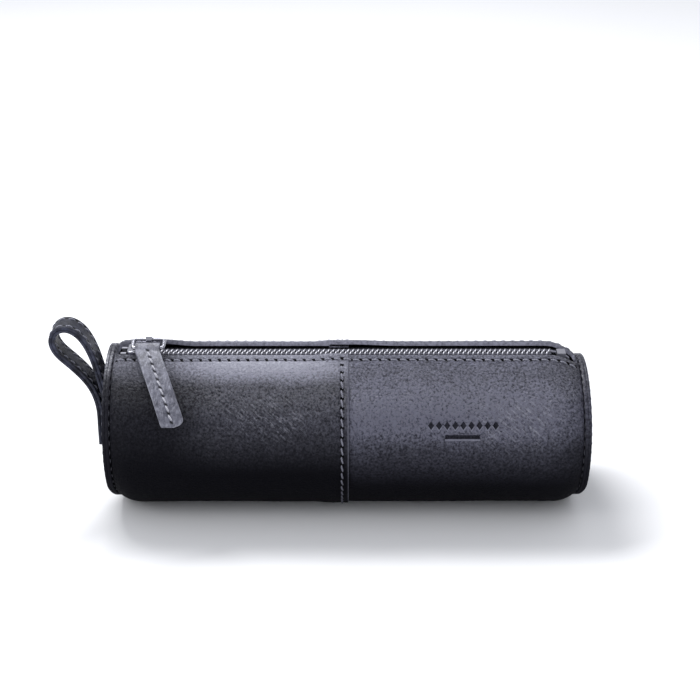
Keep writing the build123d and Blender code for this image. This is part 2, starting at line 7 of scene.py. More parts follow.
import bmesh
import bpy
import numpy as np
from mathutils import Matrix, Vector


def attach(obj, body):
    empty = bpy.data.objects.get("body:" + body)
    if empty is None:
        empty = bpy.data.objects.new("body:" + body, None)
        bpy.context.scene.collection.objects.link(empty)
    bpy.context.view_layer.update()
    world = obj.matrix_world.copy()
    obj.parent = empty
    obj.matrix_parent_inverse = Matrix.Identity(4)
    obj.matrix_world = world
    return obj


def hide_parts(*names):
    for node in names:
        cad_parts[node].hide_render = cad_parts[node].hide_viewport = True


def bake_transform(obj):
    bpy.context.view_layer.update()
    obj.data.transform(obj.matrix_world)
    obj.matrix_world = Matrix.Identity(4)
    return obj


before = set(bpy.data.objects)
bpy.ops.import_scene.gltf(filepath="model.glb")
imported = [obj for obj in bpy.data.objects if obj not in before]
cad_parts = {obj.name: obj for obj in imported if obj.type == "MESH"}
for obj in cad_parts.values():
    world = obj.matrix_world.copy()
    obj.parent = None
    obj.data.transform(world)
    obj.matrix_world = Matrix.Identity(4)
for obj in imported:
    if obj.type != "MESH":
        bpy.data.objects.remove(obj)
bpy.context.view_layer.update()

MM = 0.001

# ---- sizes shared with the CAD pieces ----------------------------------------------------------------
TUBE_RADIUS, AXIS_Z, LEATHER = 33.2, 32.0, 1.6
SHOULDER_X, SHOULDER_LENGTH, SHOULDER_DROP = 83.99, 12.0, 8.5
GROOVE_X, RIM_RADIUS = 94.65, 30.4
SEAM_X, LAP_X, LAP_RISE, LAP_LEVEL = 0.6, -7.4, 0.6, 1.0
MOUTH_HALF = 5.2
MOUTH_ROW = 15.4            # degrees from the top to the thread row beside the zip
MOUTH_PITCH, SEAM_PITCH, END_PITCH, LOOP_PITCH, PULL_PITCH = 3.8, 3.9, 3.9, 3.5, 3.5
SEAM_ROW_X = -2.0
SEAM_FIRST, SEAM_STEP, SEAM_COUNT = 24.64, 6.611, 48     # degrees to the first stitch, and between
MOUTH_COUNT = 49
COIL_Z, COIL_START, COIL_PITCH, COIL_END = 63.5, -84.4, 2.0, 83.1
CORD_Y, CORD_HALF_WIDTH, CORD_HALF_HEIGHT, CORD_END = 1.42, 0.7, 0.27, 0.5
TAPE, TAPE_DEPTH = 0.6, 2.15                    # its face under the outside of the tube
BAR_Y, BAR_Z = -5.7, 68.0                       # the link's front bar
PULL_X, PULL_WIDTH, PULL_LEAN, PULL_CORNER = -80.3, 9.8, 20.0, 2.6
PULL_STANDOFF, PULL_LIFT = 1.3, 1.1             # of its underside half way down, and its end's more
PULL_MID_ANGLE, PULL_END_ANGLE = 40.0, 67.0     # degrees round the tube from the top
LOOP_HALF, STRIP = 5.5, 1.3
LOOP_ROW_Y, LOOP_ROW_START, LOOP_BARE_OUTSIDE, LOOP_BARE_INSIDE = 3.6, 2.0, 20.0, 20.8
ANCHOR_HALF, ANCHOR_HEIGHTS = 1.75, (-6.2, -0.6)
RIM_ROW_RADIUS, RIM_ROW_OUTSIDE, RIM_ROW_INSIDE = 29.4, 97.36, 94.76
LOZENGE_PITCH, LOZENGE_X, LOZENGE_ARC, LOZENGES_HALF = 3.2, 46.0, 38.4, 4.5     # pressed ornament
STRIP_X, STRIP_ARC = 45.7, 43.0                 # short bar under the lozenges
LOOP_PATH = [(-101.55, -8.0), (-101.55, 1.0), (-101.7, 8.5), (-103.0, 14.6), (-105.3, 19.6), (-109.1, 24.6),
             (-113.2, 28.9), (-116.6, 32.4), (-118.5, 35.6), (-119.0, 38.9), (-117.4, 42.3), (-113.6, 43.7),
             (-109.0, 41.6), (-105.2, 36.2), (-102.9, 30.0), (-101.3, 23.6), (-99.7, 16.0), (-98.9, 8.0),
             (-98.9, -8.0)]


# ---- one wrapper for node sockets, one for trees -----------------------------------------------------
class Value:
    """A socket that can be reckoned with: value + 1, 1 - value, value * other."""

    def __init__(self, tree, socket):
        self.tree, self.socket = tree, socket

    def _do(self, operation, *terms, clamp=False):
        node = self.tree.nodes.new(MATH[self.tree.bl_idname])
        node.operation, node.use_clamp = operation, clamp
        for slot, term in zip(node.inputs, terms):
            if isinstance(term, Value):
                self.tree.links.new(term.socket, slot)
            else:
                slot.default_value = term
        return Value(self.tree, node.outputs[0])

    def __add__(self, other):
        return self._do("ADD", self, other)

    def __radd__(self, other):
        return self._do("ADD", other, self)

    def __sub__(self, other):
        return self._do("SUBTRACT", self, other)

    def __rsub__(self, other):
        return self._do("SUBTRACT", other, self)

    def __mul__(self, other):
        return self._do("MULTIPLY", self, other)

    def __rmul__(self, other):
        return self._do("MULTIPLY", other, self)

    def __truediv__(self, other):
        return self._do("DIVIDE", self, other)

    def __rtruediv__(self, other):
        return self._do("DIVIDE", other, self)

    def __neg__(self):
        return self._do("MULTIPLY", self, -1.0)

    def power(self, other):
        return self._do("POWER", self, other)

    def abs(self):
        return self._do("ABSOLUTE", self)

    def sin(self):
        return self._do("SINE", self)

    def sqrt(self):
        return self._do("SQRT", self)

    def fract(self):
        return self._do("FRACT", self)

    def low(self, other):
        return self._do("MINIMUM", self, other)

    def high(self, other):
        return self._do("MAXIMUM", self, other)

    def angle(self, other):
        return self._do("ARCTAN2", self, other)

    def held(self):
        return self._do("ADD", self, 0.0, clamp=True)


    def step(self, start, end):
        """0 before start, 1 after end, smooth between; start may be the larger."""
        t = ((self - start) / (end - start)).held()
        return t * t * (3.0 - 2.0 * t)


MATH = {"ShaderNodeTree": "ShaderNodeMath", "GeometryNodeTree": "ShaderNodeMath"}


class Graph:
    """A node tree to which nodes are added by type, settings first and then values or links."""

    def __init__(self, tree):
        self.tree = tree

    def add(self, kind, settings=None, out=0, **inputs):
        node = self.tree.nodes.new(kind)
        for name, value in (settings or {}).items():
            setattr(node, name, value)
        for name, value in inputs.items():
            slot = node.inputs[int(name[1:])] if name[1:].isdigit() else node.inputs[name.replace("_", " ")]
            if isinstance(value, Value):
                self.tree.links.new(value.socket, slot)
            else:
                slot.default_value = value
        return Value(self.tree, node.outputs[out]) if node.outputs else node

    def mix(self, share, first, second):
        """Colour between first and second."""
        return self.add("ShaderNodeMix", {"data_type": "RGBA"}, out=2, i0=share, i6=first, i7=second)

    def join(self, x, y, z=0.0):
        return self.add("ShaderNodeCombineXYZ", X=x, Y=y, Z=z)

    def parts(self, vector):
        node = self.tree.nodes.new("ShaderNodeSeparateXYZ")
        self.tree.links.new(vector.socket, node.inputs[0])
        return [Value(self.tree, node.outputs[i]) for i in range(3)]

    def vector(self, operation, first, second):
        return self.add("ShaderNodeVectorMath", {"operation": operation}, i0=first, i1=second)

    def noise(self, vector, scale, detail=2.0, roughness=0.5):
        return self.add("ShaderNodeTexNoise", Vector=vector, Scale=scale, Detail=detail, Roughness=roughness)

    def attribute(self, name):
        return self.add("ShaderNodeAttribute", {"attribute_name": name}, out=2)

    def millimetres(self):
        place = self.add("ShaderNodeTexCoord", out=3)
        return self.vector("MULTIPLY", place, (1000.0, 1000.0, 1000.0))


def surface(name, paint):
    """A material whose Principled surface is set by paint(graph), which returns its inputs."""
    material = bpy.data.materials.new(name)
    material.use_nodes = True
    tree = material.node_tree
    tree.nodes.clear()
    graph = Graph(tree)
    inputs = paint(graph)
    dull, share = inputs.pop("dull", None), inputs.pop("share", None)
    shade = graph.add("ShaderNodeBsdfPrincipled", **inputs)
    if dull:
        dull_shade = graph.add("ShaderNodeBsdfPrincipled", **dull)
        shade = graph.add("ShaderNodeMixShader", i0=share, i1=dull_shade, i2=shade)
    output = tree.nodes.new("ShaderNodeOutputMaterial")
    tree.links.new(shade.socket, output.inputs["Surface"])
    return material


def bump(graph, height, depth, strength=1.0):
    return graph.add("ShaderNodeBump", Strength=strength, Distance=depth * MM, Height=height)


def dark_light(graph, share, dark, light):
    return graph.mix(share, (*dark, 1.0), (*light, 1.0))


# ---- leather -----------------------------------------------------------------------------------------
def grain(graph, mm, size):
    """Pebbled grain: 1 on the pebbles, 0 in the valleys between them."""
    bent = graph.vector("ADD", mm, graph.vector("MULTIPLY", graph.add(
        "ShaderNodeTexNoise", out=1, Vector=mm, Scale=0.9 / size, Detail=1.0), (0.55 * size,) * 3))
    cells = graph.add("ShaderNodeTexVoronoi", {"feature": "SMOOTH_F1"}, Vector=bent, Scale=1.0 / size,
                      Smoothness=0.35)
    fine = graph.noise(mm, 3.2 / size, 3.0, 0.6)
    return ((1.0 - cells * 1.25) * 0.75 + fine * 0.45).held()


def tube_leather(graph):
    """Navy pull-up leather of the tube, worked in x along the tube and the arc round it."""
    mm = graph.millimetres()
    x, y, z = graph.parts(mm)
    from_top = y.angle(z - AXIS_Z)          # 0 at the top, negative to the front
    arc = from_top * TUBE_RADIUS
    edge, flesh = graph.attribute("edge"), graph.attribute("flesh")
    pebbles = grain(graph, mm, 0.95)

    # fine folds that pull lighter wax marks through the colour, running down to the right
    slant = graph.join(x * 0.66 + arc * 0.75, (x * 0.75 - arc * 0.66) * 0.16)
    streaks = graph.noise(slant, 1.1, 5.0, 0.66).step(0.47, 0.68)
    right_fold = (1.0 - (((x - 70.0) / 26.0).power(2.0) + ((arc + 39.0) / 13.0).power(2.0)).sqrt()).held()
    left_fold = (1.0 - (((x + 30.0) / 26.0).power(2.0) + ((arc + 36.0) / 12.0).power(2.0)).sqrt()).held()
    patches = graph.noise(graph.join(x, arc * 1.2), 0.05, 3.0).step(0.45, 0.66)
    wax_wear_and_painted_shade = (streaks * (patches * 0.12 + right_fold * 1.1 + left_fold * 0.6)).held()
    mottle = graph.noise(mm, 0.16, 5.0, 0.6)
    cloud = graph.noise(mm, 0.045, 3.0, 0.5)

    # awl holes beside every stitch of the zip's rows and the lap seam, painted near black as the shade inside
    # them
    row = arc.abs() - MOUTH_ROW * math.pi / 180 * TUBE_RADIUS
    beat = ((x - row * 0.35) / MOUTH_PITCH).fract() - 0.5
    mouth_hole = (beat * MOUTH_PITCH).abs().step(0.85, 0.45) * row.abs().step(0.95, 0.5)
    mouth_hole = mouth_hole * x.abs().step(93.4, 93.0)
    seam_beat = ((from_top.abs() * (180 / math.pi) - SEAM_FIRST) / SEAM_STEP).fract() - 0.5
    seam_hole = (seam_beat * SEAM_PITCH).abs().step(0.85, 0.45) * (x - SEAM_ROW_X).abs().step(0.95, 0.5)
    furrow = (row.abs().step(1.5, 0.2) + (x - SEAM_ROW_X).abs().step(1.6, 0.3)).held()
    hole = mouth_hole.high(seam_hole) * (1.0 - edge) * (1.0 - flesh)

    # plain pressed ornament, a line of lozenges over a short bar, with painted shade in the pressed marks and
    # a painted highlight on their lower walls
    along = (x - LOZENGE_X) / LOZENGE_PITCH
    sideways = ((along + 0.5).fract() - 0.5).abs() * LOZENGE_PITCH

    def ornament(shift):
        line = (sideways + (arc + LOZENGE_ARC + shift).abs() * 0.72).step(1.4, 1.15)
        line = line * along.abs().step(LOZENGES_HALF, LOZENGES_HALF - 0.02)
        strip = (x - STRIP_X).abs().step(7.1, 6.8) * (arc + STRIP_ARC + shift).abs().step(0.95, 0.7)
        return line.high(strip)
    stamped = ornament(0.0)
    painted_wall_highlight = ornament(0.6) * (1.0 - stamped)

    # painted shade: the colour is darker low down and at the ends; painted light lifts the right panel and its
    # middle, a painted highlight lies by the left lip, and the polished share is smaller low down
    right = x.step(-1.0, 3.0)
    # painted shade at both ends of the tube
    ends = (x.step(-76.0, -46.0) * 0.76 + 0.24) * (x.step(99.0, 72.0) * 0.65 + 0.35)
    # painted light on the right panel at middle height
    middle = z.step(34.0, 45.0) * z.step(62.0, 51.0) * right
    # painted shade darkening the leather towards the foot, and at the ends
    painted_light_by_height = ((z - 24.0 + right * 8.0) / (24.0 + right * 8.0)).held().power(1.6) * ends
    speck = graph.noise(mm, 1.05, 4.0, 0.75).step(0.35, 0.65)
    # painted highlight along the left panel near its lip
    painted_lip_highlight = z.step(57.0, 67.5) * (1.0 - z.step(63.8, 64.3) * 0.6) * (1.0 - right)
    painted_lip_highlight = painted_lip_highlight * (x.step(2.0, -24.0) * 0.6 + 0.4)
    # tone: painted light and shade over the mottled dye; the right panel is painted lighter
    tone = painted_light_by_height * (0.3 + right * 0.36 + painted_lip_highlight * 2.4 + middle * 0.6) * (0.3 + mottle * 0.8 + cloud * 0.5)
    tone = tone * (speck * 1.2 + pebbles * 0.8)
    colour = dark_light(graph, tone.held(), (0.0022, 0.0022, 0.0042), (0.125, 0.126, 0.178))
    # lighter wax marks, scaled by the painted light
    colour = graph.mix((wax_wear_and_painted_shade * painted_light_by_height * (speck * 1.2 + 0.3)).held(), colour, (0.36, 0.363, 0.43, 1.0))
    # painted highlight mixed in near the left lip
    colour = graph.mix(painted_lip_highlight * ends * (speck * 0.45 + 0.6), colour, (0.5, 0.503, 0.58, 1.0))
    # painted shade: the pressed marks near black in their recess
    colour = graph.mix(stamped * 0.85, colour, (0.003, 0.003, 0.006, 1.0))
    # painted highlight on the lower walls of the pressed marks
    colour = graph.mix(painted_wall_highlight * 0.7, colour, (0.27, 0.272, 0.34, 1.0))
    # painted shade: the awl holes near black
    colour = graph.mix(hole, colour, (0.001, 0.001, 0.0015, 1.0))
    suede = dark_light(graph, graph.noise(mm, 1.6, 5.0, 0.75), (0.012, 0.013, 0.022), (0.05, 0.052, 0.075))
    colour = graph.mix(flesh, colour, suede)
    on_body = x.abs().step(94.2, 93.4)
    # painted light: the burnished edges lighter higher up
    burnish = dark_light(graph, (graph.noise(mm, 0.9, 3.0) * (0.05 + on_body * (painted_light_by_height + 0.6))).held(),
                         (0.008, 0.008, 0.013), (0.36, 0.36, 0.44))
    colour = graph.mix(edge * (on_body * 0.75 + 0.25), colour, burnish)
    height = pebbles * 0.9 + speck * 0.5 - hole * 2.0 - furrow * 0.6 + wax_wear_and_painted_shade * 0.6 + streaks * 0.3
    normal = bump(graph, height * (1.0 - edge * 0.8), 0.42, 1.0)
    rough = (0.4 - pebbles * 0.1 + mottle * 0.08 + flesh * 0.4 - edge * 0.06 + hole * 0.5).held()
    polish = (z + right * 5.0).step(23.0, 56.0) * (ends * 0.7 + 0.3 * z.step(48.0, 60.0))
    polish = polish * (1.0 - flesh * 0.9) * (1.0 - hole) * (0.1 + speck * 1.1 + pebbles * 0.5)
    polish = polish * (1.0 + middle * 0.6 + painted_lip_highlight) * (1.0 - stamped * 0.8)
    dull = {"Base_Color": colour, "Roughness": 0.75, "Normal": normal, "Specular_IOR_Level": 0.06}
    return {"Base_Color": colour, "Roughness": rough, "Normal": normal, "Specular_IOR_Level": 0.6,
            "dull": dull, "share": polish.held()}


def strap_leather(dark, light, worn_colour, worn_share, size, gloss):
    """Leather of a cut strip: grain, wear, and a burnished cut edge."""
    def paint(graph):
        mm = graph.millimetres()
        edge, flesh, pierced = (graph.attribute(mark) for mark in ("edge", "flesh", "pierced"))
        pebbles = grain(graph, mm, size)
        mottle = graph.noise(mm, 0.28, 5.0, 0.68).step(0.3, 0.72)
        wear = graph.noise(graph.vector("MULTIPLY", mm, (1.4, 0.8, 0.5)), 0.55, 6.0, 0.72).step(0.44, 0.7)
        colour = dark_light(graph, (mottle * 0.8 + pebbles * 0.3 - 0.1).held(), dark, light)
        colour = graph.mix(wear * worn_share, colour, (*worn_colour, 1.0))
        colour = graph.mix(edge * 0.8, colour, dark_light(graph, mottle, dark, worn_colour))
        # painted shade: the stitch holes near black
        colour = graph.mix(pierced * 0.92, colour, (0.002, 0.002, 0.003, 1.0))
        height = pebbles * 0.5 + wear * 0.3 + mottle * 0.3 - pierced * 2.0
        return {"Base_Color": colour, "Roughness": (0.52 - pebbles * 0.1 + flesh * 0.3 - edge * 0.1).held(),
                "Normal": bump(graph, height * (1.0 - edge * 0.6), 0.16, 0.9), "Specular_IOR_Level": gloss}
    return paint


def thread(dark, light):
    """Waxed thread: two plies twisted together, seen along the stitch, their crowns painted light and the
    grooves between them painted dark, and the thread painted darker towards the foot.
    """
    def paint(graph):
        # painted light and shade: the plies' crowns light, the grooves between them dark
        ply_relief_and_painted_light = (graph.attribute("twist") * (2 * math.pi)).sin() * 0.5 + 0.5
        mm = graph.millimetres()
        # painted shade: the thread darker towards the foot
        fuzz, wax_wear_and_painted_shade = graph.noise(mm, 4.0, 2.0), graph.parts(mm)[2].step(4.0, 46.0) * 0.85 + 0.15
        return {"Base_Color": dark_light(graph, ((ply_relief_and_painted_light * 0.6 + fuzz * 0.4) * wax_wear_and_painted_shade).held(), dark, light),
                "Roughness": (0.5 + fuzz * 0.2).held(), "Normal": bump(graph, ply_relief_and_painted_light, 0.08, 0.7)}
    return paint


def tape_weave(graph):
    """Woven polyester tape: ribs across it, a herringbone along it, and a painted shadow where it runs under
    the leather's lips.
    """
    mm = graph.millimetres()
    x, y = graph.parts(mm)[:2]
    ribs = ((x + y.abs() * 0.6) * (2 * math.pi / 0.62)).sin() * 0.5 + 0.5
    ends = (y * (2 * math.pi / 0.8)).sin() * 0.5 + 0.5
    weave = (ribs * 0.7 + ends * 0.3) * (0.75 + graph.noise(mm, 2.2, 3.0) * 0.5)
    # painted shadow where the tape runs under the leather's lips
    clear_of_painted_lip_shadow = y.abs().step(4.9, 4.2)
    return {"Base_Color": dark_light(graph, (weave * (clear_of_painted_lip_shadow * 0.85 + 0.15)).held(), (0.02, 0.02, 0.03),
                                     (0.4, 0.4, 0.48)),
            "Roughness": (0.82 - weave * 0.1).held(), "Normal": bump(graph, weave, 0.1, 0.8)}


def plated(base, low, high, wear=0.25):
    """Plated metal with faint handling marks."""
    def paint(graph):
        mm = graph.millimetres()
        smear = graph.noise(mm, 0.7, 4.0, 0.6)
        scratch = graph.noise(graph.vector("MULTIPLY", mm, (0.6, 6.0, 6.0)), 1.3, 3.0).step(0.55, 0.7)
        tone = tuple(c * 0.72 for c in base)
        return {"Base_Color": dark_light(graph, (1.0 - smear * wear - scratch * 0.1).held(), tone, base),
                "Roughness": (low + (smear * 0.7 + scratch * 0.3) * (high - low)).held(), "Metallic": 1.0,
                "Normal": bump(graph, scratch + smear * 0.5, 0.01, 0.4)}
    return paint


def cord_fibre(graph):
    """Spun filler cord, drawn out along the zip."""
    mm = graph.millimetres()
    fibre = graph.noise(graph.vector("MULTIPLY", mm, (1.0, 6.0, 6.0)), 1.0, 3.0)
    return {"Base_Color": dark_light(graph, fibre, (0.02, 0.02, 0.03), (0.1, 0.1, 0.13)),
            "Roughness": (0.8 + fibre * 0.1).held()}


# ---- meshes ------------------------------------------------------------------------------------------
def smooth(t):
    t = np.clip(t, 0.0, 1.0)
    return t * t * (3 - 2 * t)


def hump(t):
    return np.exp(-np.square(t))


def made(name, points, faces, material, marks=None, sharp=50.0):
    """A mesh object from points in millimetres, with its named point attributes, faces turned outwards."""
    mesh = bpy.data.meshes.new(name)
    mesh.from_pydata((np.asarray(points, float) * MM).tolist(), [], [list(map(int, f)) for f in faces])
    for mark, values in (marks or {}).items():
        stored = mesh.attributes.new(mark, "FLOAT", "POINT")
        stored.data.foreach_set("value", np.asarray(values, np.float32).ravel())
    work = bmesh.new()
    work.from_mesh(mesh)
    bmesh.ops.recalc_face_normals(work, faces=work.faces)
    work.to_mesh(mesh)
    work.free()
    mesh.shade_smooth()
    mesh.set_sharp_from_angle(angle=math.radians(sharp))
    mesh.materials.append(material)
    piece = bpy.data.objects.new(name, mesh)
    bpy.context.scene.collection.objects.link(piece)
    return piece


def grid_faces(rows, columns, start=0, wrap=False):
    last = rows if wrap else rows - 1
    r, c = np.meshgrid(np.arange(last), np.arange(columns - 1), indexing="ij")
    a, b = start + r * columns + c, start + (r + 1) % rows * columns + c
    return np.stack([a, a + 1, b + 1, b], -1).reshape(-1, 4)


def shell(name, outer, inner, material, edge=None, flesh=1.0, sharp=50.0, pierced=None):
    """Two paired grids, rows x columns x 3, closed along all four borders: a cut piece of leather or tape."""
    rows, columns = outer.shape[:2]
    size = rows * columns
    faces = [grid_faces(rows, columns), grid_faces(rows, columns, size)[:, ::-1]]
    ring = np.concatenate([np.arange(columns), np.arange(1, rows) * columns + columns - 1,
                           (rows - 1) * columns + np.arange(columns - 2, -1, -1),
                           np.arange(rows - 2, 0, -1) * columns])
    after = np.roll(ring, -1)
    faces.append(np.stack([ring, after, after + size, ring + size], -1))
    edge = np.zeros((rows, columns)) if edge is None else edge
    marks = {"edge": np.concatenate([edge.ravel(), edge.ravel()]),
             "flesh": np.concatenate([np.zeros(size), np.full(size, flesh)])}
    if pierced is not None:
        marks["pierced"] = np.concatenate([pierced.ravel(), np.zeros(size)])
    points = np.concatenate([outer.reshape(-1, 3), inner.reshape(-1, 3)])
    return made(name, points, np.concatenate(faces), material, marks, sharp)


def turned(name, profile, material, edge, flesh, count=144):
    """A round piece about the tube's axis from profile points (x, radius), the first and last on the axis."""
    angle = np.linspace(0, 2 * np.pi, count, endpoint=False)
    middle = np.array(profile[1:-1])
    x = np.broadcast_to(middle[:, 0], (count, len(middle)))
    radius = np.broadcast_to(middle[:, 1], (count, len(middle)))
    across, up = -radius * np.sin(angle)[:, None], AXIS_Z + radius * np.cos(angle)[:, None]
    points = warp(x, across, up).reshape(-1, 3)
    ends = warp(*[np.array([[profile[0][0], profile[-1][0]], [0, 0], [AXIS_Z, AXIS_Z]])[i] for i in range(3)])
    columns, first = len(middle), len(points)
    ring = np.arange(count)
    after = (ring + 1) % count
    faces = list(grid_faces(count, columns, wrap=True))
    faces += [(first, a * columns, b * columns) for a, b in zip(ring, after)]
    faces += [(first + 1, b * columns + columns - 1, a * columns + columns - 1) for a, b in zip(ring, after)]
    marks = {"edge": np.concatenate([np.tile(edge[1:-1], count), [edge[0], edge[-1]]]),
             "flesh": np.concatenate([np.tile(flesh[1:-1], count), [flesh[0], flesh[-1]]])}
    return made(name, np.concatenate([points, ends]), faces, material, marks)


# ---- the tube's shape: where a point of its leather lies ---------------------------------------------
def warp(x, y, z):
    """The handling the case has had: rounder ends over the zip, ends that lean in at the foot."""
    x, y, z = (np.asarray(v, float) for v in (x, y, z))
    high, low = smooth((z - AXIS_Z) / 30), smooth((16 - z) / 16)
    right_drop = 2.4 * smooth((x - 81) / 14) * high
    left_rise = 2.6 * smooth((-x - 85) / 10) * smooth((z - 42) / 20) * (0.8 + 0.2 * np.tanh(y / 6))
    lean = 2.4 * low * smooth((np.abs(x) - 78) / 20) * np.sign(x)
    shifted = z - right_drop + left_rise
    return np.stack([x - lean, y, np.where(z < 0, z, np.maximum(shifted, 0))], -1)


def shoulder(past, depth=0.0):
    """Radius of the leather, or of what lies a depth under it, past the start of the rounded shoulder."""
    share = np.clip(past / (SHOULDER_LENGTH - depth), 0, 0.995)
    full = TUBE_RADIUS - SHOULDER_DROP + (SHOULDER_DROP - depth) * (1 - share ** 2.6) ** (1 / 2.6)
    return full - 0.85 * smooth((past - 9.9) / 0.75)


def half_mouth(x):
    """Half the mouth's width at x, 0 past its ends."""
    past = np.abs(x) - 90.75
    corner = 2.2 + np.sqrt(np.clip(9 - np.clip(past, 0, 3) ** 2, 0, 9))
    return np.where(past <= 0, MOUTH_HALF, np.where(past <= 3.0, corner, 0.0))


def unevenness(x, turn):
    """How far hand-worked leather strays from the true round, in millimetres."""
    slow = np.sin(x / 19 + 1.1) * np.sin(turn * 2.3 + 0.4) + 0.6 * np.sin(x / 9.5 - turn * 3.1)
    fold = hump((x - 68 - (turn - 1.25) * 26) / 5.5) * hump((turn - 1.25) / 0.55)
    second = hump((x - 52 - (turn - 1.5) * 34) / 4.0) * hump((turn - 1.5) / 0.4)
    left = hump((x + 45 + (turn - 1.2) * 24) / 6.0) * hump((turn - 1.2) / 0.5)
    return 0.13 * slow - 0.3 * fold - 0.22 * second - 0.25 * left


def wall_point(x, radius, turn, level):
    """Point of the leather at a radius and a turn from the top to the front, pressed flat on its foot."""
    over = AXIS_Z + radius * np.cos(turn) - level
    z = level + 0.5 * (over + np.sqrt(over ** 2 + 0.25))
    return warp(x, -radius * np.sin(turn), z)


def groove_dent(distance, beat):
    """A thread row draws the leather down, most at its holes."""
    return (0.2 + 0.08 * np.cos(2 * np.pi * beat)) * hump(distance / 0.6)


def rounded(distance, radius):
    """How far the face drops at a distance from a cut edge."""
    reach = np.clip(radius - distance, 0, radius)
    return radius - np.sqrt(radius ** 2 - reach ** 2)


def pressed(x, turn):
    """Depth of the pressed ornament: a line of lozenges over a short bar."""
    arc, along = turn * TUBE_RADIUS, (x - LOZENGE_X) / LOZENGE_PITCH
    lozenge = np.abs(along - np.round(along)) * LOZENGE_PITCH + np.abs(arc - LOZENGE_ARC) * 0.72
    line = (1 - smooth((lozenge - 1.0) / 0.4)) * (np.abs(along) < LOZENGES_HALF)
    strip = 1 - smooth((np.abs(x - STRIP_X) - 6.6) / 0.6)
    strip = strip * (1 - smooth((np.abs(arc - STRIP_ARC) - 0.5) / 0.6))
    return 0.5 * np.maximum(line, strip)


def outer_skin(x, radius, turn, along_lip, side):
    """Radius of the leather's outside, with its rows and unevenness; along_lip is the way from its lip."""
    past_mouth = smooth((93.4 - np.abs(x)) / 0.8)
    dent = groove_dent(along_lip - 3.7, x / MOUTH_PITCH + 0.5) * past_mouth
    turn_degrees = np.degrees(turn)
    seam = groove_dent(x - SEAM_ROW_X, (turn_degrees - SEAM_FIRST) / SEAM_STEP + 0.5)
    dent = dent + seam * smooth((along_lip - 4.5) / 1.5)
    if side > 0:
        dent = dent + pressed(x, turn)
    swell = 0.16 * hump((along_lip - 1.9) / 1.0) * past_mouth
    uneven = unevenness(x, turn if side > 0 else turn + 1.7) * smooth(along_lip / 6)
    return radius - dent + swell + uneven * smooth((96 - np.abs(x)) / 8)


LIP_STEPS = [0, 0.08, 0.2, 0.38, 0.8, 1.3, 1.9, 2.5, 2.9, 3.2, 3.45, 3.7, 3.95, 4.2, 4.5, 4.9, 5.5]
SHOULDER_STEPS = (GROOVE_X - SHOULDER_X) * np.sin(np.linspace(0, np.pi / 2, 26))
RIM_OUT = [(94.72, 28.75), (94.78, 29.2), (94.8, 29.9), (94.92, 30.25), (95.15, 30.4), (95.8, 30.4),
           (96.14, 30.3), (96.25, 30.05)]
RIM_IN = [(94.4, 27.0), (95.2, 27.3), (95.8, 27.9), (96.15, 28.5), (96.25, 28.9), (96.25, 29.2),
          (96.25, 29.5), (96.25, 29.8)]
RIM_EDGE = [0, 0, 0.2, 0.8, 1, 1, 1, 1]


def panel_profile(straight, raised, under):
    """Outside and inside of a body panel along the tube: x and radius, and how much of it is cut edge."""
    outside = [(x, TUBE_RADIUS + raised(x)) for x in straight]
    inside = [(x, under(x)) for x in straight]
    edge = [0.0] * len(straight)
    for past in SHOULDER_STEPS:
        outside.append((SHOULDER_X + past, float(shoulder(past))))
        inside.append((SHOULDER_X + past * 0.9, float(shoulder(past * 0.9, LEATHER))))
        edge.append(0.0)
    return np.array(outside + RIM_OUT), np.array(inside + RIM_IN), np.array(edge + RIM_EDGE)


def back_lift(x, from_lip, left):
    """How far the back lip stands up off the zip's tape."""
    lift = 0.85 * smooth((92 - np.abs(x)) / 9) * hump(from_lip / 3.6)
    if left:
        return lift + 1.0 * smooth((-x - 62) / 14) * smooth((92 + x) / 4) * hump(from_lip / 6)
    return lift + 0.6 * (1 - smooth((x - 2) / 20)) * hump(from_lip / 5)


def body_half(name, way, side, profile, edge_step, material, extra_rows=()):
    """One side of a body panel; way is +1 for the right panel and -1 for the left, side +1 for the front."""
    outside, inside, cut = profile
    x_out, x_in = way * outside[:, 0], way * inside[:, 0]
    lip = np.arcsin(half_mouth(x_out) / np.maximum(outside[:, 1], 20))
    regular = np.arange(6.4, math.pi * TUBE_RADIUS - 7, 1.0)
    far = np.unique(np.concatenate([regular, list(extra_rows)]))
    rows = []
    for step in LIP_STEPS:
        rows.append(lip + step / TUBE_RADIUS)
    reach = math.pi - 0.157
    for step in far:
        share = (step - 5.5) / (reach * TUBE_RADIUS - 5.5)
        rows.append(lip + (5.5 + share * ((math.pi - lip) * TUBE_RADIUS - 5.5)) / TUBE_RADIUS)
    rows.append(np.full_like(lip, math.pi))
    turn = np.array(rows)
    along = np.concatenate([LIP_STEPS, far, [reach * TUBE_RADIUS]])[:, None]
    x = np.broadcast_to(x_out, turn.shape)
    mouth = half_mouth(x_out) > 0
    drop = rounded(along, 0.32) * mouth
    seam_drop = rounded(np.abs(x_out - way * edge_step[0]), edge_step[1])
    radius = outer_skin(x, outside[:, 1], turn, along, side) - drop - seam_drop
    if side < 0:
        radius = radius + back_lift(x, along, way < 0)
    outer = wall_point(x, radius, side * turn, 0.0)
    x_i = np.broadcast_to(x_in, turn.shape)
    lifted = (radius - outside[:, 1]) * hump(along / 9)
    inner_radius = inside[:, 1] + rounded(along, 0.32) * mouth + lifted
    inner_radius = np.minimum(inner_radius, radius - 0.45)
    inner = wall_point(x_i, inner_radius, side * turn, LEATHER)
    edge = np.maximum(np.where(mouth, 1 - smooth(along / 0.36), 0), cut)
    at_seam = 1 - smooth(np.abs(x_out - way * edge_step[0]) / (0.5 if way < 0 else 0.05))
    edge = np.maximum(edge, at_seam)
    return shell(name, outer, inner, material, edge)


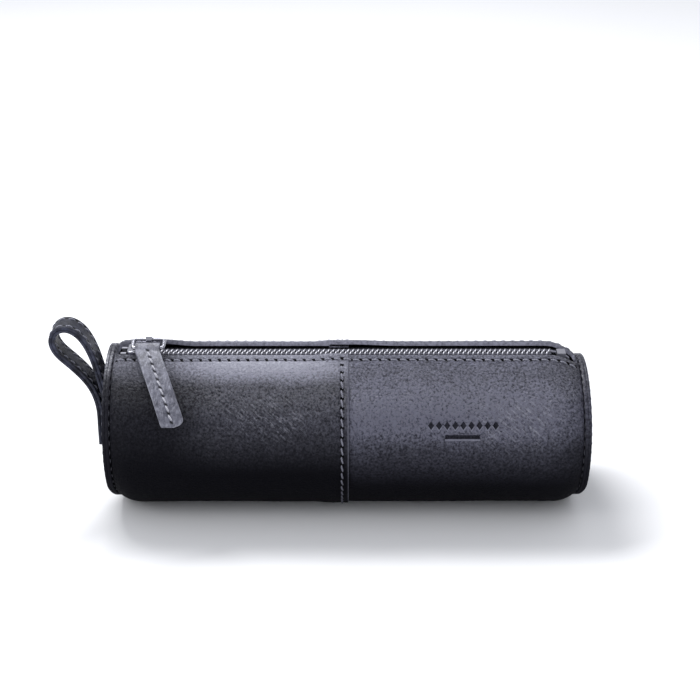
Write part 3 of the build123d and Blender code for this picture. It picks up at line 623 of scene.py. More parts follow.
def opening(piece, way):
    """Bakes the piece's transform into its mesh; the hinge from the foot and the mouth's end up to the middle
    of the mouth is worked out, but the side is not bent.
    """
    end, top, foot = (-93.0 if way < 0 else 75.0), TOP_Z, 8.0
    along, up = 1 / (SEAM_X - end), 1 / (top - foot)
    size = along * along + up * up
    start = Vector((end, 0.0, top)) * MM
    finish = start + Vector((along / size, 0.0, up / size)) * MM
    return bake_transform(piece)


TOP_Z = AXIS_Z + TUBE_RADIUS
SIDES = {"front": 1, "back": -1}
WAYS = {"left": -1, "right": 1}

navy = surface("navy_pull_up_leather", tube_leather)
loop_hide = surface("loop_strap_leather", strap_leather((0.004, 0.0042, 0.008), (0.019, 0.021, 0.036),
                                                        (0.062, 0.067, 0.105), 0.3, 0.6, 0.22))
pull_hide = surface("waxed_pull_leather", strap_leather((0.04, 0.041, 0.058), (0.19, 0.192, 0.24),
                                                        (0.42, 0.423, 0.49), 0.55, 0.6, 0.4))
navy_thread = surface("navy_waxed_thread", thread((0.05, 0.051, 0.07), (0.34, 0.34, 0.41)))
rim_thread = surface("dark_waxed_thread", thread((0.03, 0.03, 0.04), (0.2, 0.2, 0.24)))
pull_thread = surface("pull_waxed_thread", thread((0.16, 0.16, 0.19), (0.75, 0.75, 0.82)))
woven = surface("woven_zip_tape", tape_weave)
coil_silver = surface("silvered_coil", plated((0.5, 0.5, 0.54), 0.42, 0.58))
nickel = surface("polished_nickel", plated((0.36, 0.36, 0.4), 0.16, 0.36))
stop_tin = surface("pressed_stop_metal", plated((0.24, 0.24, 0.27), 0.5, 0.7))
filler = surface("coil_filler_cord", cord_fibre)


# ---- body panels -------------------------------------------------------------------------------------
def lap_rise(x):
    return LAP_RISE * float(smooth((x + 15.0) / 9.0))


fine_seam = [0.6, 0.57, 0.48, 0.35, 0.1, -0.3, -0.8, -1.25, -1.6, -1.85, -2.0, -2.15, -2.4, -2.75, -3.2,
             -3.9, -4.8, -5.8, -6.8, -7.4, -7.9, -8.4, -8.9, -9.4]
left_x = np.concatenate([-np.array(fine_seam), np.arange(10.2, SHOULDER_X - 0.4, 0.95)])
ornament_x = np.arange(30.0, 62.5, 0.5)
right_x = np.unique(np.round(np.concatenate([[0.6, 0.7, 0.9], np.arange(1.5, 30, 0.95), ornament_x,
                                             np.arange(63, SHOULDER_X - 0.4, 0.95)]), 3))
left_profile = panel_profile(left_x, lambda x: lap_rise(-x),
                             lambda x: TUBE_RADIUS - (LAP_LEVEL if x < -LAP_X else LEATHER))
right_profile = panel_profile(right_x, lambda x: 0.0, lambda x: TUBE_RADIUS - LEATHER)

for side_name, side in SIDES.items():
    wall = body_half(f"left_panel_{side_name}", -1, side, left_profile, (-SEAM_X, 0.36), navy)
    opening(wall, -1)
    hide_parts("left_body_panel")
    rows = np.arange(37.0, 47.0, 0.45) if side > 0 else ()
    wall = body_half(f"right_panel_{side_name}", 1, side, right_profile, (SEAM_X, 0.1), navy, rows)
    opening(wall, 1)
    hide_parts("right_body_panel")

    # the right panel's skived tongue lies under the left panel
    tongue_x = np.linspace(LAP_X, SEAM_X, 9)
    reach = (math.pi - math.radians(9)) * TUBE_RADIUS
    steps = np.concatenate([[0.0, 0.2], np.linspace(1.0, reach, 70)])
    first = math.asin(MOUTH_HALF / TUBE_RADIUS)
    turn = np.minimum(first + (steps[:, None] + 0 * tongue_x) / TUBE_RADIUS, math.pi)
    x = np.broadcast_to(tongue_x, turn.shape)
    upper = wall_point(x, TUBE_RADIUS - LAP_LEVEL - 0.04, side * turn, LAP_LEVEL)
    lower = wall_point(x, TUBE_RADIUS - LEATHER, side * turn, LEATHER)
    tongue = shell(f"lap_tongue_{side_name}", upper, lower, navy)
    opening(tongue, -1)
    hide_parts("right_body_panel")

# ---- end panels --------------------------------------------------------------------------------------
for way_name, way in WAYS.items():
    rim = RIM_RADIUS
    profile = [(97.72, 0.0), (97.72, 8.0), (97.68, 16.0), (97.6, 22.0), (97.52, 26.0), (97.42, 28.2),
               (97.34, 29.0), (97.34, 29.3), (97.42, 29.8), (97.4, rim - 0.22), (97.28, rim - 0.06),
               (97.1, rim), (96.5, rim), (96.3, rim - 0.05), (96.25, rim - 0.2), (96.25, 22.0), (96.25, 0.0)]
    edge = [0, 0, 0, 0, 0, 0, 0, 0, 0.2, 0.7, 1, 1, 1, 1, 0.5, 0, 0]
    flesh = [0] * 14 + [0, 1, 1]
    panel = turned(f"{way_name}_end_disc", [(way * x, r) for x, r in profile], navy, edge, flesh)
    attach(panel, "case")
    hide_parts(f"{way_name}_end_panel")


# ---- thread: rows of stitches set by nodes -----------------------------------------------------------
def geometry_tree(name, sockets):
    """A node group with a Geometry output and the named inputs; returns its graph and the inputs' values."""
    tree = bpy.data.node_groups.new(name, "GeometryNodeTree")
    tree.interface.new_socket("Geometry", in_out="OUTPUT", socket_type="NodeSocketGeometry")
    tree.interface.new_socket("Geometry", in_out="INPUT", socket_type="NodeSocketGeometry")
    for socket, (kind, value) in sockets.items():
        made_socket = tree.interface.new_socket(socket, in_out="INPUT", socket_type=kind)
        if value is not None:
            made_socket.default_value = value
    entry = tree.nodes.new("NodeGroupInput")
    graph = Graph(tree)
    return graph, {out.name: Value(tree, out) for out in entry.outputs if out.name}


def close_tree(graph, instances, material):
    real = graph.add("GeometryNodeRealizeInstances", Geometry=instances)
    painted = graph.add("GeometryNodeSetMaterial", Geometry=real, Material=material)
    exit_node = graph.tree.nodes.new("NodeGroupOutput")
    graph.tree.links.new(painted.socket, exit_node.inputs[0])
    return graph.tree


def sewing_tree():
    """Arched stitches on the given points, each turned to its row and to the leather's face."""
    graph, given = geometry_tree("sewn_row", {
        "Stitch Length": ("NodeSocketFloat", 0.0028), "Thread Radius": ("NodeSocketFloat", 0.00036),
        "Arch": ("NodeSocketFloat", 0.0009), "Sink": ("NodeSocketFloat", 0.0005),
        "Slant": ("NodeSocketFloat", 0.16), "Looseness": ("NodeSocketFloat", 0.05),
        "Seed": ("NodeSocketInt", 7), "Thread": ("NodeSocketMaterial", None)})
    half = given["Stitch Length"] * 0.5
    line = graph.add("GeometryNodeCurveQuadraticBezier", Resolution=7,
                     Start=graph.join(-half, 0.0, -given["Sink"]), Middle=graph.join(0.0, 0.0, given["Arch"]),
                     End=graph.join(half, 0.0, -given["Sink"]))
    round_thread = graph.add("GeometryNodeCurvePrimitiveCircle", {"mode": "RADIUS"}, Resolution=6,
                             Radius=given["Thread Radius"])
    bar = graph.add("GeometryNodeCurveToMesh", Curve=line, Profile_Curve=round_thread, Fill_Caps=True)
    x, y = graph.parts(graph.add("GeometryNodeInputPosition"))[:2]
    bar = graph.add("GeometryNodeStoreNamedAttribute", {"data_type": "FLOAT", "domain": "POINT"},
                    Geometry=bar, Name="twist", Value=x * 1500.0 + y * 900.0)
    along = graph.add("GeometryNodeInputNamedAttribute", {"data_type": "FLOAT_VECTOR"}, Name="along")
    out = graph.add("GeometryNodeInputNamedAttribute", {"data_type": "FLOAT_VECTOR"}, Name="out")
    facing = graph.add("FunctionNodeAxesToRotation", {"primary_axis": "Z", "secondary_axis": "X"},
                       Primary_Axis=out, Secondary_Axis=along)
    low, high = given["Slant"] - given["Looseness"], given["Slant"] + given["Looseness"]
    slant = graph.add("FunctionNodeRandomValue", {"data_type": "FLOAT"}, out=1, i2=low, i3=high,
                      Seed=given["Seed"])
    facing = graph.add("FunctionNodeRotateRotation", {"rotation_space": "LOCAL"}, Rotation=facing,
                       Rotate_By=graph.add("FunctionNodeEulerToRotation", Euler=graph.join(0.0, 0.0, slant)))
    row = graph.add("GeometryNodeInstanceOnPoints", Points=given["Geometry"], Instance=bar, Rotation=facing)
    return close_tree(graph, row, given["Thread"])


def grown(piece, tree, sizes):
    """Runs a node tree on a piece and leaves the plain mesh it makes."""
    modifier = piece.modifiers.new("made", "NODES")
    modifier.node_group = tree
    for socket in tree.interface.items_tree:
        if socket.in_out == "INPUT" and socket.name in sizes:
            modifier[socket.identifier] = sizes[socket.name]
    piece.update_tag()
    bpy.context.view_layer.update()
    mesh = bpy.data.meshes.new_from_object(piece.evaluated_get(bpy.context.evaluated_depsgraph_get()))
    piece.modifiers.clear()
    piece.data = mesh
    mesh.name = piece.name
    mesh.shade_smooth()
    return piece


def sewn(name, places, sizes, node):
    """A row of stitches from (point, along, out) places in millimetres."""
    points, along, out = (np.array([place[i] for place in places], float) for i in range(3))
    mesh = bpy.data.meshes.new(name)
    mesh.from_pydata((points * MM).tolist(), [], [])
    for mark, values in (("along", along), ("out", out)):
        stored = mesh.attributes.new(mark, "FLOAT_VECTOR", "POINT")
        stored.data.foreach_set("vector", values.astype(np.float32).ravel())
    piece = bpy.data.objects.new(name, mesh)
    bpy.context.scene.collection.objects.link(piece)
    grown(piece, SEWING, sizes)
    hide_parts(node)
    return piece


SEWING = sewing_tree()


def tube_place(x, turn, side):
    """A place on the tube's outside: its point, the ways along and round the tube, and outwards."""
    lip = math.asin(MOUTH_HALF / TUBE_RADIUS)

    def at(x, turn):
        past = abs(x) - SHOULDER_X
        radius = TUBE_RADIUS + (lap_rise(x) if x < SEAM_X else 0.0)
        if past > 0:
            radius = float(shoulder(past))
        from_lip = (turn - lip) * TUBE_RADIUS
        flat = outer_skin(np.array(x), radius, np.array(turn), np.array(from_lip), side)
        if side < 0:
            flat = flat + back_lift(x, from_lip, x < SEAM_X)
        return wall_point(x, flat, side * turn, 0.0)
    here = at(x, turn)
    along, around = at(x + 0.3, turn) - at(x - 0.3, turn), at(x, turn + 0.01) - at(x, turn - 0.01)
    out = np.cross(along, around) * side
    out = out / np.linalg.norm(out)
    if out @ np.array([0, here[1], here[2] - AXIS_Z]) < 0:
        out = -out
    return here, along / np.linalg.norm(along), around / np.linalg.norm(around), out


ROW = {"Stitch Length": 3.05 * MM, "Thread Radius": 0.36 * MM, "Arch": 0.85 * MM, "Sink": 0.45 * MM,
       "Slant": 0.17, "Looseness": 0.06, "Thread": navy_thread}
mouth_turn = math.radians(MOUTH_ROW)
for side_name, side in SIDES.items():
    for way_name, way in WAYS.items():
        xs = [(i - MOUTH_COUNT // 2) * MOUTH_PITCH for i in range(MOUTH_COUNT)]
        xs = [x for x in xs if (x < SEAM_X) == (way < 0)]
        places = [(p, a, o) for p, a, r, o in (tube_place(x, mouth_turn, side) for x in xs)]
        given = {**ROW, "Slant": -0.2 * side, "Seed": 3 + side}
        row = sewn(f"mouth_row_{side_name}_{way_name}", places, given, f"{side_name}_mouth_stitches")
        opening(row, way)
    places = []
    for i in range(SEAM_COUNT // 2):
        p, a, r, o = tube_place(SEAM_ROW_X, math.radians(SEAM_FIRST + i * SEAM_STEP), side)
        places.append((p - o * (0.7 if p[2] < 1.0 else 0.0), r, o))
    row = sewn(f"lap_row_{side_name}", places,
               {**ROW, "Stitch Length": 3.2 * MM, "Slant": 0.2 * side, "Seed": 11},
               "centre_seam_stitches")
    opening(row, -1)

for way_name, way in WAYS.items():
    places = []
    count = int(2 * math.pi * RIM_ROW_RADIUS / END_PITCH)
    for i in range(count):
        turn = 2 * math.pi * (i + 0.5) / count
        for x, face in ((RIM_ROW_OUTSIDE * way, way), (RIM_ROW_INSIDE * way, -way)):
            point = warp(x, -RIM_ROW_RADIUS * math.sin(turn), AXIS_Z + RIM_ROW_RADIUS * math.cos(turn))
            places.append((point, (0, -math.cos(turn), -math.sin(turn)), (face, 0, 0)))
    row = sewn(f"{way_name}_rim_row", places,
               {**ROW, "Stitch Length": 3.0 * MM, "Arch": 0.35 * MM, "Seed": 5, "Thread": rim_thread},
               f"{way_name}_end_stitches")
    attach(row, "case")

# ---- zip tapes, teeth and filler cords ---------------------------------------------------------------
def tape_half(name, side, way):
    """One tape from the lap seam to one end, bent down with the shoulder."""
    x = way * np.concatenate([np.linspace(way * SEAM_X, 80, 110), np.linspace(80.5, 91.25, 16)])
    y = np.concatenate([[2.6, 2.66, 2.8, 3.1, 3.5], np.linspace(4.0, 9.4, 12)])
    x, y = np.meshgrid(x, y)
    past = np.clip(np.abs(x) - SHOULDER_X, 0, None)

    def sheet_at(depth):
        radius = np.where(past > 0, shoulder(past, depth), TUBE_RADIUS - depth)
        return warp(x, -side * y, AXIS_Z + np.sqrt(radius ** 2 - y ** 2))
    ripple = 0.05 * np.sin(x / 3.1) * np.sin(y)
    top, bottom = sheet_at(TAPE_DEPTH), sheet_at(TAPE_DEPTH + TAPE)
    top[..., 2] -= 0.06 - 0.06 * smooth((y - 2.6) / 0.3) - ripple * 0.3
    return shell(name, top, bottom, woven, flesh=0.0)


def coil_tree():
    """A run of flattened coil loops, each leaning a little along the zip."""
    graph, given = geometry_tree("coil_teeth", {
        "Start": ("NodeSocketFloat", -0.0844), "Count": ("NodeSocketInt", 43),
        "Pitch": ("NodeSocketFloat", 0.002), "Middle": ("NodeSocketFloat", 0.00125),
        "Height": ("NodeSocketFloat", 0.0635), "Reach": ("NodeSocketFloat", 0.0031),
        "Tall": ("NodeSocketFloat", 0.0016), "Wire Radius": ("NodeSocketFloat", 0.00036),
        "Lean": ("NodeSocketFloat", -0.3), "Metal": ("NodeSocketMaterial", None)})
    ring = graph.add("GeometryNodeCurvePrimitiveCircle", {"mode": "RADIUS"}, Resolution=12, Radius=1.0)
    wire = given["Wire Radius"]
    ring = graph.add("GeometryNodeTransform", Geometry=ring, Rotation=(math.pi / 2, 0.0, math.pi / 2))
    ring = graph.add("GeometryNodeTransform", Geometry=ring,
                     Scale=graph.join(1.0, given["Reach"] * 0.5 - wire, given["Tall"] * 0.5 - wire))
    round_wire = graph.add("GeometryNodeCurvePrimitiveCircle", {"mode": "RADIUS"}, Resolution=6, Radius=wire)
    tooth = graph.add("GeometryNodeCurveToMesh", Curve=ring, Profile_Curve=round_wire)
    line = graph.add("GeometryNodeMeshLine", {"mode": "OFFSET"}, Count=given["Count"],
                     Start_Location=graph.join(given["Start"], given["Middle"], given["Height"]),
                     Offset=graph.join(given["Pitch"], 0.0, 0.0))
    turn = graph.add("FunctionNodeEulerToRotation", Euler=graph.join(0.0, 0.0, given["Lean"]))
    teeth = graph.add("GeometryNodeInstanceOnPoints", Points=line, Instance=tooth, Rotation=turn)
    return close_tree(graph, teeth, given["Metal"])


def cord_half(name, side, way, rings=60, count=10):
    """The flat filler cord inside one half of a coil, from the lap seam to one end."""
    x = np.linspace(*((COIL_START - CORD_END, SEAM_X) if way < 0 else (SEAM_X, COIL_END)), rings)[:, None]
    turn = np.linspace(0, 2 * np.pi, count, endpoint=False)
    points = np.stack([x + 0 * turn, -side * (CORD_Y + CORD_HALF_WIDTH * np.cos(turn)) + 0 * x,
                       COIL_Z + CORD_HALF_HEIGHT * np.sin(turn) + 0 * x], -1).reshape(-1, 3)
    faces = []
    for r in range(rings - 1):
        for c in range(count):
            after = (c + 1) % count
            faces.append([r * count + c, r * count + after, (r + 1) * count + after, (r + 1) * count + c])
    caps = [list(range(count)), list(range((rings - 1) * count, rings * count))]
    return made(name, points, faces + caps, filler)


COIL = coil_tree()
LEFT_TEETH, RIGHT_TEETH = 43, 41
for side_name, side in SIDES.items():
    for way_name, way in WAYS.items():
        tape = tape_half(f"zip_tape_{side_name}_{way_name}", side, way)
        opening(tape, way)
        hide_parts(f"{side_name}_zip_tape")

        teeth = bpy.data.objects.new(f"zip_teeth_{side_name}_{way_name}", bpy.data.meshes.new("teeth"))
        bpy.context.scene.collection.objects.link(teeth)
        first = COIL_START + (0 if side > 0 else 1) + (0 if way < 0 else LEFT_TEETH * COIL_PITCH)
        grown(teeth, COIL, {"Start": first * MM, "Count": LEFT_TEETH if way < 0 else RIGHT_TEETH,
                            "Middle": -side * 1.0 * MM, "Height": COIL_Z * MM, "Metal": coil_silver})
        opening(teeth, way)
        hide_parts(f"{side_name}_zip_coil")

        core = cord_half(f"zip_filler_{side_name}_{way_name}", side, way)
        opening(core, way)
        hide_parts(f"{side_name}_coil_cord")

# ---- slider, its crown, the link and the stops keep their CAD shapes ---------------------------------
for node, metal in (("slider_body", nickel), ("slider_crown", nickel), ("pull_link", nickel),
                    ("front_top_stop", stop_tin), ("back_top_stop", stop_tin), ("bottom_stop", stop_tin)):
    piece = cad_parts[node]
    piece.data.materials.clear()
    piece.data.materials.append(metal)


# ---- leather pull: one strip folded over the link's front bar ----------------------------------------
PULL_LEATHER, FOLD = 1.3, 0.9
bar = np.array([BAR_Y, BAR_Z - AXIS_Z])
reach = TUBE_RADIUS + PULL_STANDOFF + PULL_LEATHER


def round_tube(degrees, radius):
    return np.array([-math.sin(math.radians(degrees)), math.cos(math.radians(degrees))]) * radius


knee, tip = round_tube(PULL_MID_ANGLE, reach), round_tube(PULL_END_ANGLE, reach + PULL_LIFT)


def circle_through(a, b, c):
    system = 2 * np.array([b - a, c - a])
    middle = np.linalg.solve(system, [b @ b - a @ a, c @ c - a @ a])
    return middle, np.linalg.norm(a - middle)


hub, bend = circle_through(bar, knee, tip)
sweep = np.unwrap([math.atan2(*(point - hub)[::-1]) for point in (bar, knee, tip)])
ARC_STEPS = 400
sampled = np.linspace(sweep[0], sweep[2], ARC_STEPS)
arc_points = hub + bend * np.stack([np.cos(sampled), np.sin(sampled)], -1)
facing = math.radians((PULL_END_ANGLE + math.degrees(math.asin(-bar[0] / np.linalg.norm(bar)))) / 2)
drops = -(arc_points - bar) @ np.array([math.cos(facing), math.sin(facing)])
lean = math.radians(PULL_LEAN)
SHOULDER = FOLD + PULL_LEATHER
lean_length = (drops[-1] - SHOULDER) / math.cos(lean)
skew = PULL_WIDTH / 2 * math.sin(lean)


def on_pull(x, drop, off):
    """A point of the pull at x, at a drop below the bar in the pull's plane, standing off."""
    turn = np.interp(drop, drops, sampled)
    out = np.stack([np.cos(turn), np.sin(turn)], -1)
    place = hub + out * (bend + off)[..., None]
    return np.stack([x, place[..., 0], AXIS_Z + place[..., 1]], -1)


half_across = np.array([0.04, 0.08, 0.12, 0.17, 0.23, 0.32, 0.5, 0.7, 0.86, 0.93, 0.97, 0.99, 1])
across = np.concatenate([-half_across[::-1], [0], half_across])
down = np.concatenate([np.linspace(0, 0.93, 130), 0.93 + 0.07 * np.sin(np.linspace(0.06, np.pi / 2, 20))])
length = abs(sweep[2] - sweep[0]) * bend
first, last = 2.2 * SHOULDER, length - 1.4 * PULL_CORNER
pull_count = int((last - first) / PULL_PITCH) + 1
first = (first + last - (pull_count - 1) * PULL_PITCH) / 2


def pull_holes(x, drop):
    """1 at the holes between the pull's stitches."""
    along = np.interp(drop, drops, np.linspace(0, length, ARC_STEPS))
    beat = (along - first) / PULL_PITCH + 0.5
    sideways = (x - PULL_X - (drop - SHOULDER) * math.tan(lean)) * math.cos(lean)
    way = (beat - np.round(beat)) * PULL_PITCH - sideways * 0.5
    inside = (beat > -0.3) & (beat < pull_count + 0.3)
    return inside * (1 - smooth((np.abs(way) - 0.25) / 0.4)) * (1 - smooth((np.abs(sideways) - 0.3) / 0.45))


def pull_row(t):
    """x and drop across the pull at a share of its length, narrowing to the rounded end."""
    edges = [np.array([side * PULL_WIDTH / 2 + math.sin(lean) * (lean_length - side * skew) * t,
                       SHOULDER + math.cos(lean) * (lean_length - side * skew) * t]) for side in (-1, 1)]
    left_over = (1 - t) * lean_length
    narrow = PULL_CORNER - math.sqrt(max(PULL_CORNER ** 2 - max(PULL_CORNER - left_over, 0) ** 2, 0))
    share = across * (1 - narrow / (PULL_WIDTH / 2))
    middle, half = (edges[0] + edges[1]) / 2, (edges[1] - edges[0]) / 2
    return PULL_X + middle[0] + half[0] * share, middle[1] + half[1] * share


half_strip = PULL_LEATHER / 2
edge_drop = rounded((1 - np.abs(across)) * PULL_WIDTH / 2, 0.3)


def layer_rows(face):
    rows = []
    for drop in (0.0, 0.8, 1.6):
        rows.append((PULL_X + across * PULL_WIDTH / 2, np.full_like(across, drop), 0.0))
    rows += [(*pull_row(t), t) for t in down]
    made_rows = []
    for x, drop, t in rows:
        off = (half_strip + FOLD * hump(drop / 2.4)) * face
        tip_drop = float(rounded((1 - t) * lean_length, 0.3)) if t > 0 else 0.0
        sunk = np.maximum(edge_drop, tip_drop)
        sag = 0.12 * np.sin(drop / 5.0 + 0.6)
        holes = pull_holes(x, drop)
        past_fold = float(smooth((drop[len(half_across)] - 3.5) / 1.5))
        thread_dent = 0.12 * hump(across * PULL_WIDTH / 2 / 0.6) * past_fold
        thread_dent = thread_dent + 0.3 * holes
        outer = on_pull(x, drop, off + face * (half_strip - sunk - thread_dent) + sag)
        inner = on_pull(x, drop, off - face * (half_strip - 0.02 - sunk * 0.6) + sag)
        near_edge = smooth((1 - np.abs(across)) * PULL_WIDTH / 2 / 0.35)
        near_edge = near_edge * smooth((1 - t) * lean_length / 0.35)
        made_rows.append((outer, inner, 1 - near_edge, holes))
    return made_rows


front_rows, back_rows = layer_rows(1), layer_rows(-1)
start = sampled[0]
normal = np.array([math.cos(start), math.sin(start)])
back_along = np.array([math.sin(start), -math.cos(start)])
if back_along @ (arc_points[5] - bar) > 0:
    back_along = -back_along
turn_rows = []
for angle in np.radians(np.linspace(15, 165, 11)):
    way_out = normal * math.cos(angle) + back_along * math.sin(angle)
    x = PULL_X + across * PULL_WIDTH / 2
    rim = (FOLD + PULL_LEATHER - edge_drop)[:, None] * way_out + bar
    rim = np.stack([x, rim[:, 0], AXIS_Z + rim[:, 1]], -1)
    bore = (FOLD + 0.02 + 0.6 * edge_drop)[:, None] * way_out + bar
    bore = np.stack([x, bore[:, 0], AXIS_Z + bore[:, 1]], -1)
    turn_rows.append((rim, bore, 1 - smooth((1 - np.abs(across)) * PULL_WIDTH / 2 / 0.35), 0 * across))
strip_rows = front_rows[::-1] + turn_rows + back_rows
outer, inner, edge, pierced = (np.array([row[i] for row in strip_rows]) for i in range(4))
pull = shell("leather_pull_strip", outer, inner, pull_hide, edge, sharp=60, pierced=pierced)
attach(pull, "pull")
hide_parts("leather_pull")

places = []
for i in range(pull_count):
    turn_at = sweep[0] + (sweep[2] - sweep[0]) * (first + i * PULL_PITCH) / length
    drop = np.interp(first + i * PULL_PITCH, np.linspace(0, length, ARC_STEPS), drops)
    x = PULL_X + (drop - SHOULDER) * math.tan(lean)
    out = np.array([0, math.cos(turn_at), math.sin(turn_at)])
    along = np.array([0, math.sin(turn_at), -math.cos(turn_at)]) * (1 if sweep[2] < sweep[0] else -1)
    along = along + np.array([math.sin(lean), 0, 0])
    for face in (1, -1):
        point = on_pull(np.array([x]), np.array([drop]), np.array([face * (PULL_LEATHER - 0.14)]))[0]
        point = point + out * 0.12 * math.sin(drop / 5.0 + 0.6)
        places.append((point, along, out * face))
row = sewn("pull_row", places,
           {**ROW, "Stitch Length": 2.9 * MM, "Slant": 0.25, "Thread": pull_thread, "Seed": 2},
           "pull_stitches")
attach(row, "pull")


# ---- wrist loop: two strips laid flesh side to flesh side --------------------------------------------
def smooth_path(points, start, end, count):
    """A cubic through the points with the given end directions, sampled evenly: places and directions."""
    points = np.array(points, float)
    t = np.concatenate([[0], np.cumsum(np.linalg.norm(np.diff(points, axis=0), axis=1))])
    h = np.diff(t)
    n = len(points)
    system, right = np.zeros((n, n)), np.zeros((n, 2))
    system[0, 0] = system[-1, -1] = 1
    right[0], right[-1] = start, end
    for i in range(1, n - 1):
        system[i, i - 1:i + 2] = h[i], 2 * (h[i - 1] + h[i]), h[i - 1]
        before, after = points[i] - points[i - 1], points[i + 1] - points[i]
        right[i] = 3 * (h[i] * before / h[i - 1] + h[i - 1] * after / h[i])
    slope = np.linalg.solve(system, right)
    q = np.linspace(0, t[-1], count)
    i = np.clip(np.searchsorted(t, q, side="right") - 1, 0, n - 2)
    u = ((q - t[i]) / h[i])[:, None]
    hh = h[i][:, None]
    place = ((1 + 2 * u) * (1 - u) ** 2 * points[i] + u * (1 - u) ** 2 * hh * slope[i]
             + u ** 2 * (3 - 2 * u) * points[i + 1] + u ** 2 * (u - 1) * hh * slope[i + 1])
    way = np.gradient(place, axis=0)
    return place, way / np.linalg.norm(way, axis=1)[:, None], t[-1]


LOOP_STEPS = 230
path, heading, loop_length = smooth_path(LOOP_PATH, (0, 1), (0, -1), LOOP_STEPS)
sideways = np.stack([-heading[:, 1], heading[:, 0]], -1)
half_width = np.array([0.25, 0.45, 0.54, 0.6, 0.655, 0.71, 0.77, 0.84, 0.92, 0.965, 0.99, 1])
width = np.concatenate([-half_width[::-1], [0], half_width])


def loop_holes(first, last):
    """1 at the holes of the two rows along a stretch of the loop."""
    count = int((last - first) / LOOP_PITCH) + 1
    begin = (first + last - (count - 1) * LOOP_PITCH) / 2
    along = np.linspace(0, loop_length, LOOP_STEPS)[:, None]
    beat = (along - begin) / LOOP_PITCH + 0.5
    way = np.abs(beat - np.round(beat)) * LOOP_PITCH
    inside = (beat > -0.3) & (beat < count + 0.3)
    beside = np.abs(np.abs(width) * LOOP_HALF - LOOP_ROW_Y)
    return inside * (1 - smooth((way - 0.3) / 0.5)) * (1 - smooth((beside - 0.3) / 0.4))


def loop_layer(name, low, high, hair, holes):
    """A strip between two distances from the loop's middle; hair is the side that shows its grain."""
    edge_in = rounded((1 - np.abs(width)) * LOOP_HALF, 0.3)
    cup = 0.22 * width ** 2
    row_dent = 0.14 * hump((np.abs(width) * LOOP_HALF - LOOP_ROW_Y) / 0.5)
    faces = []
    for distance, inward in ((high, -1), (low, 1)):
        shows = (distance == hair)
        off = distance + inward * (edge_in + (row_dent if shows else 0)) + cup * 0.5
        flat = path[:, None, :] + sideways[:, None, :] * off[None, :, None]
        y = np.broadcast_to(width * LOOP_HALF, flat.shape[:2])
        faces.append(np.stack([flat[..., 0], y, AXIS_Z + flat[..., 1]], -1))
    outer, inner = faces if hair == high else faces[::-1]
    edge = np.broadcast_to(1 - smooth((1 - np.abs(width)) * LOOP_HALF / 0.35), outer.shape[:2])
    strip = shell(name, outer, inner, loop_hide, edge, flesh=1.0, sharp=60, pierced=holes)
    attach(strip, "case")
    return strip


outside_row = (LOOP_ROW_START, loop_length - LOOP_BARE_OUTSIDE)
inside_row = (LOOP_BARE_INSIDE, loop_length - LOOP_BARE_INSIDE)
outer_strip = loop_layer("wrist_loop_outer", 0.02, STRIP, STRIP, loop_holes(*outside_row))
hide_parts("loop_outer_strip")
inner_strip = loop_layer("wrist_loop_inner", -STRIP, -0.02, -STRIP, loop_holes(*inside_row))
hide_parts("loop_inner_strip")


def loop_places(first, last, face):
    count = int((last - first) / LOOP_PITCH) + 1
    begin = (first + last - (count - 1) * LOOP_PITCH) / 2
    found = []
    for i in range(count):
        share = (begin + i * LOOP_PITCH) / loop_length * (LOOP_STEPS - 1)
        at = np.array([np.interp(share, np.arange(LOOP_STEPS), path[:, j]) for j in range(2)])
        to = np.array([np.interp(share, np.arange(LOOP_STEPS), heading[:, j]) for j in range(2)])
        out = np.array([-to[1], to[0]]) * face
        at = at + out * (STRIP - 0.12 + 0.05 * face)
        for y in (-LOOP_ROW_Y, LOOP_ROW_Y):
            found.append(((at[0], y, AXIS_Z + at[1]), (to[0], 0, to[1]), (out[0], 0, out[1])))
    return found


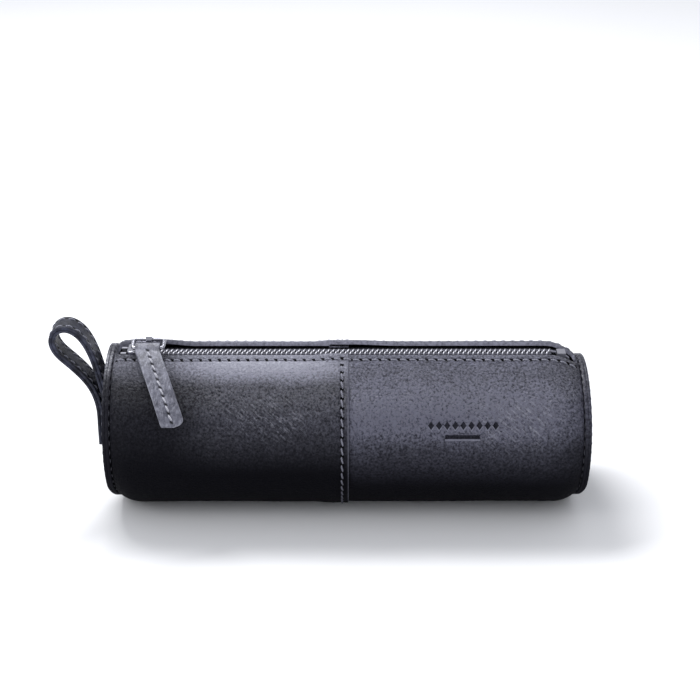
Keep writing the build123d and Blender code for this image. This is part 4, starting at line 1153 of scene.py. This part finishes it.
row = sewn("wrist_loop_rows", loop_places(*outside_row, 1) + loop_places(*inside_row, -1),
           {**ROW, "Stitch Length": 2.7 * MM, "Arch": 0.75 * MM, "Seed": 9}, "loop_stitches")
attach(row, "case")
anchors = [((LOOP_PATH[0][0] - STRIP, side * ANCHOR_HALF, AXIS_Z + height), (0, 1, 0), (-1, 0, 0))
           for height in ANCHOR_HEIGHTS for side in (-1, 1)]
row = sewn("wrist_loop_anchor_rows", anchors, {**ROW, "Stitch Length": 2.7 * MM, "Seed": 4},
           "loop_anchor_stitches")
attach(row, "case")


# ---- floor, light and camera -------------------------------------------------------------------------
def paper(graph):
    grey = graph.noise(graph.add("ShaderNodeTexCoord", out=3), 3.0, 2.0)
    return {"Base_Color": dark_light(graph, grey, (0.86, 0.86, 0.87), (0.9, 0.9, 0.905)), "Roughness": 0.9}


bpy.ops.mesh.primitive_plane_add(size=6.0, location=(0, 0, -0.0002))
floor = bpy.context.active_object
floor.name = "floor"
floor.data.materials.append(surface("pale_paper", paper))


def softbox(name, place, aim, size, power, tint=(1, 1, 1)):
    light = bpy.data.lights.new(name, "AREA")
    light.shape, light.size, light.size_y = "RECTANGLE", size[0], size[1]
    light.energy, light.color = power, tint
    lamp = bpy.data.objects.new(name, light)
    lamp.location = place
    lamp.rotation_mode = "QUATERNION"
    lamp.rotation_quaternion = (Vector(aim) - Vector(place)).to_track_quat("-Z", "Y")
    bpy.context.scene.collection.objects.link(lamp)


softbox("back_softbox", (-0.26, 0.44, 0.85), (0, 0, 0.05), (0.5, 0.26), 8.5, (0.98, 0.985, 1.0))
softbox("left_softbox", (-0.6, -0.3, 0.5), (0, 0, 0.04), (0.3, 0.3), 0.9)
sky = bpy.data.worlds.new("studio_room")
sky.use_nodes = True
sky.node_tree.nodes["Background"].inputs["Color"].default_value = (0.93, 0.95, 1.0, 1.0)
sky.node_tree.nodes["Background"].inputs["Strength"].default_value = 0.8
bpy.context.scene.world = sky
bpy.context.scene.view_settings.view_transform = "Standard"

middle = Vector((0, 0, AXIS_Z)) * MM
rise = math.radians(27)
camera = bpy.data.objects.new("camera", bpy.data.cameras.new("camera"))
camera.data.lens, camera.data.sensor_width = 80.2, 36.0
camera.location = middle + Vector((0, -math.cos(rise), math.sin(rise))) * 0.65
camera.rotation_mode = "QUATERNION"
aim = middle + Vector((1.25, 13.4, 26.4)) * MM
camera.rotation_quaternion = (aim - camera.location).to_track_quat("-Z", "Y")
camera.data.clip_start = 0.01
bpy.context.scene.collection.objects.link(camera)
bpy.context.scene.camera = camera
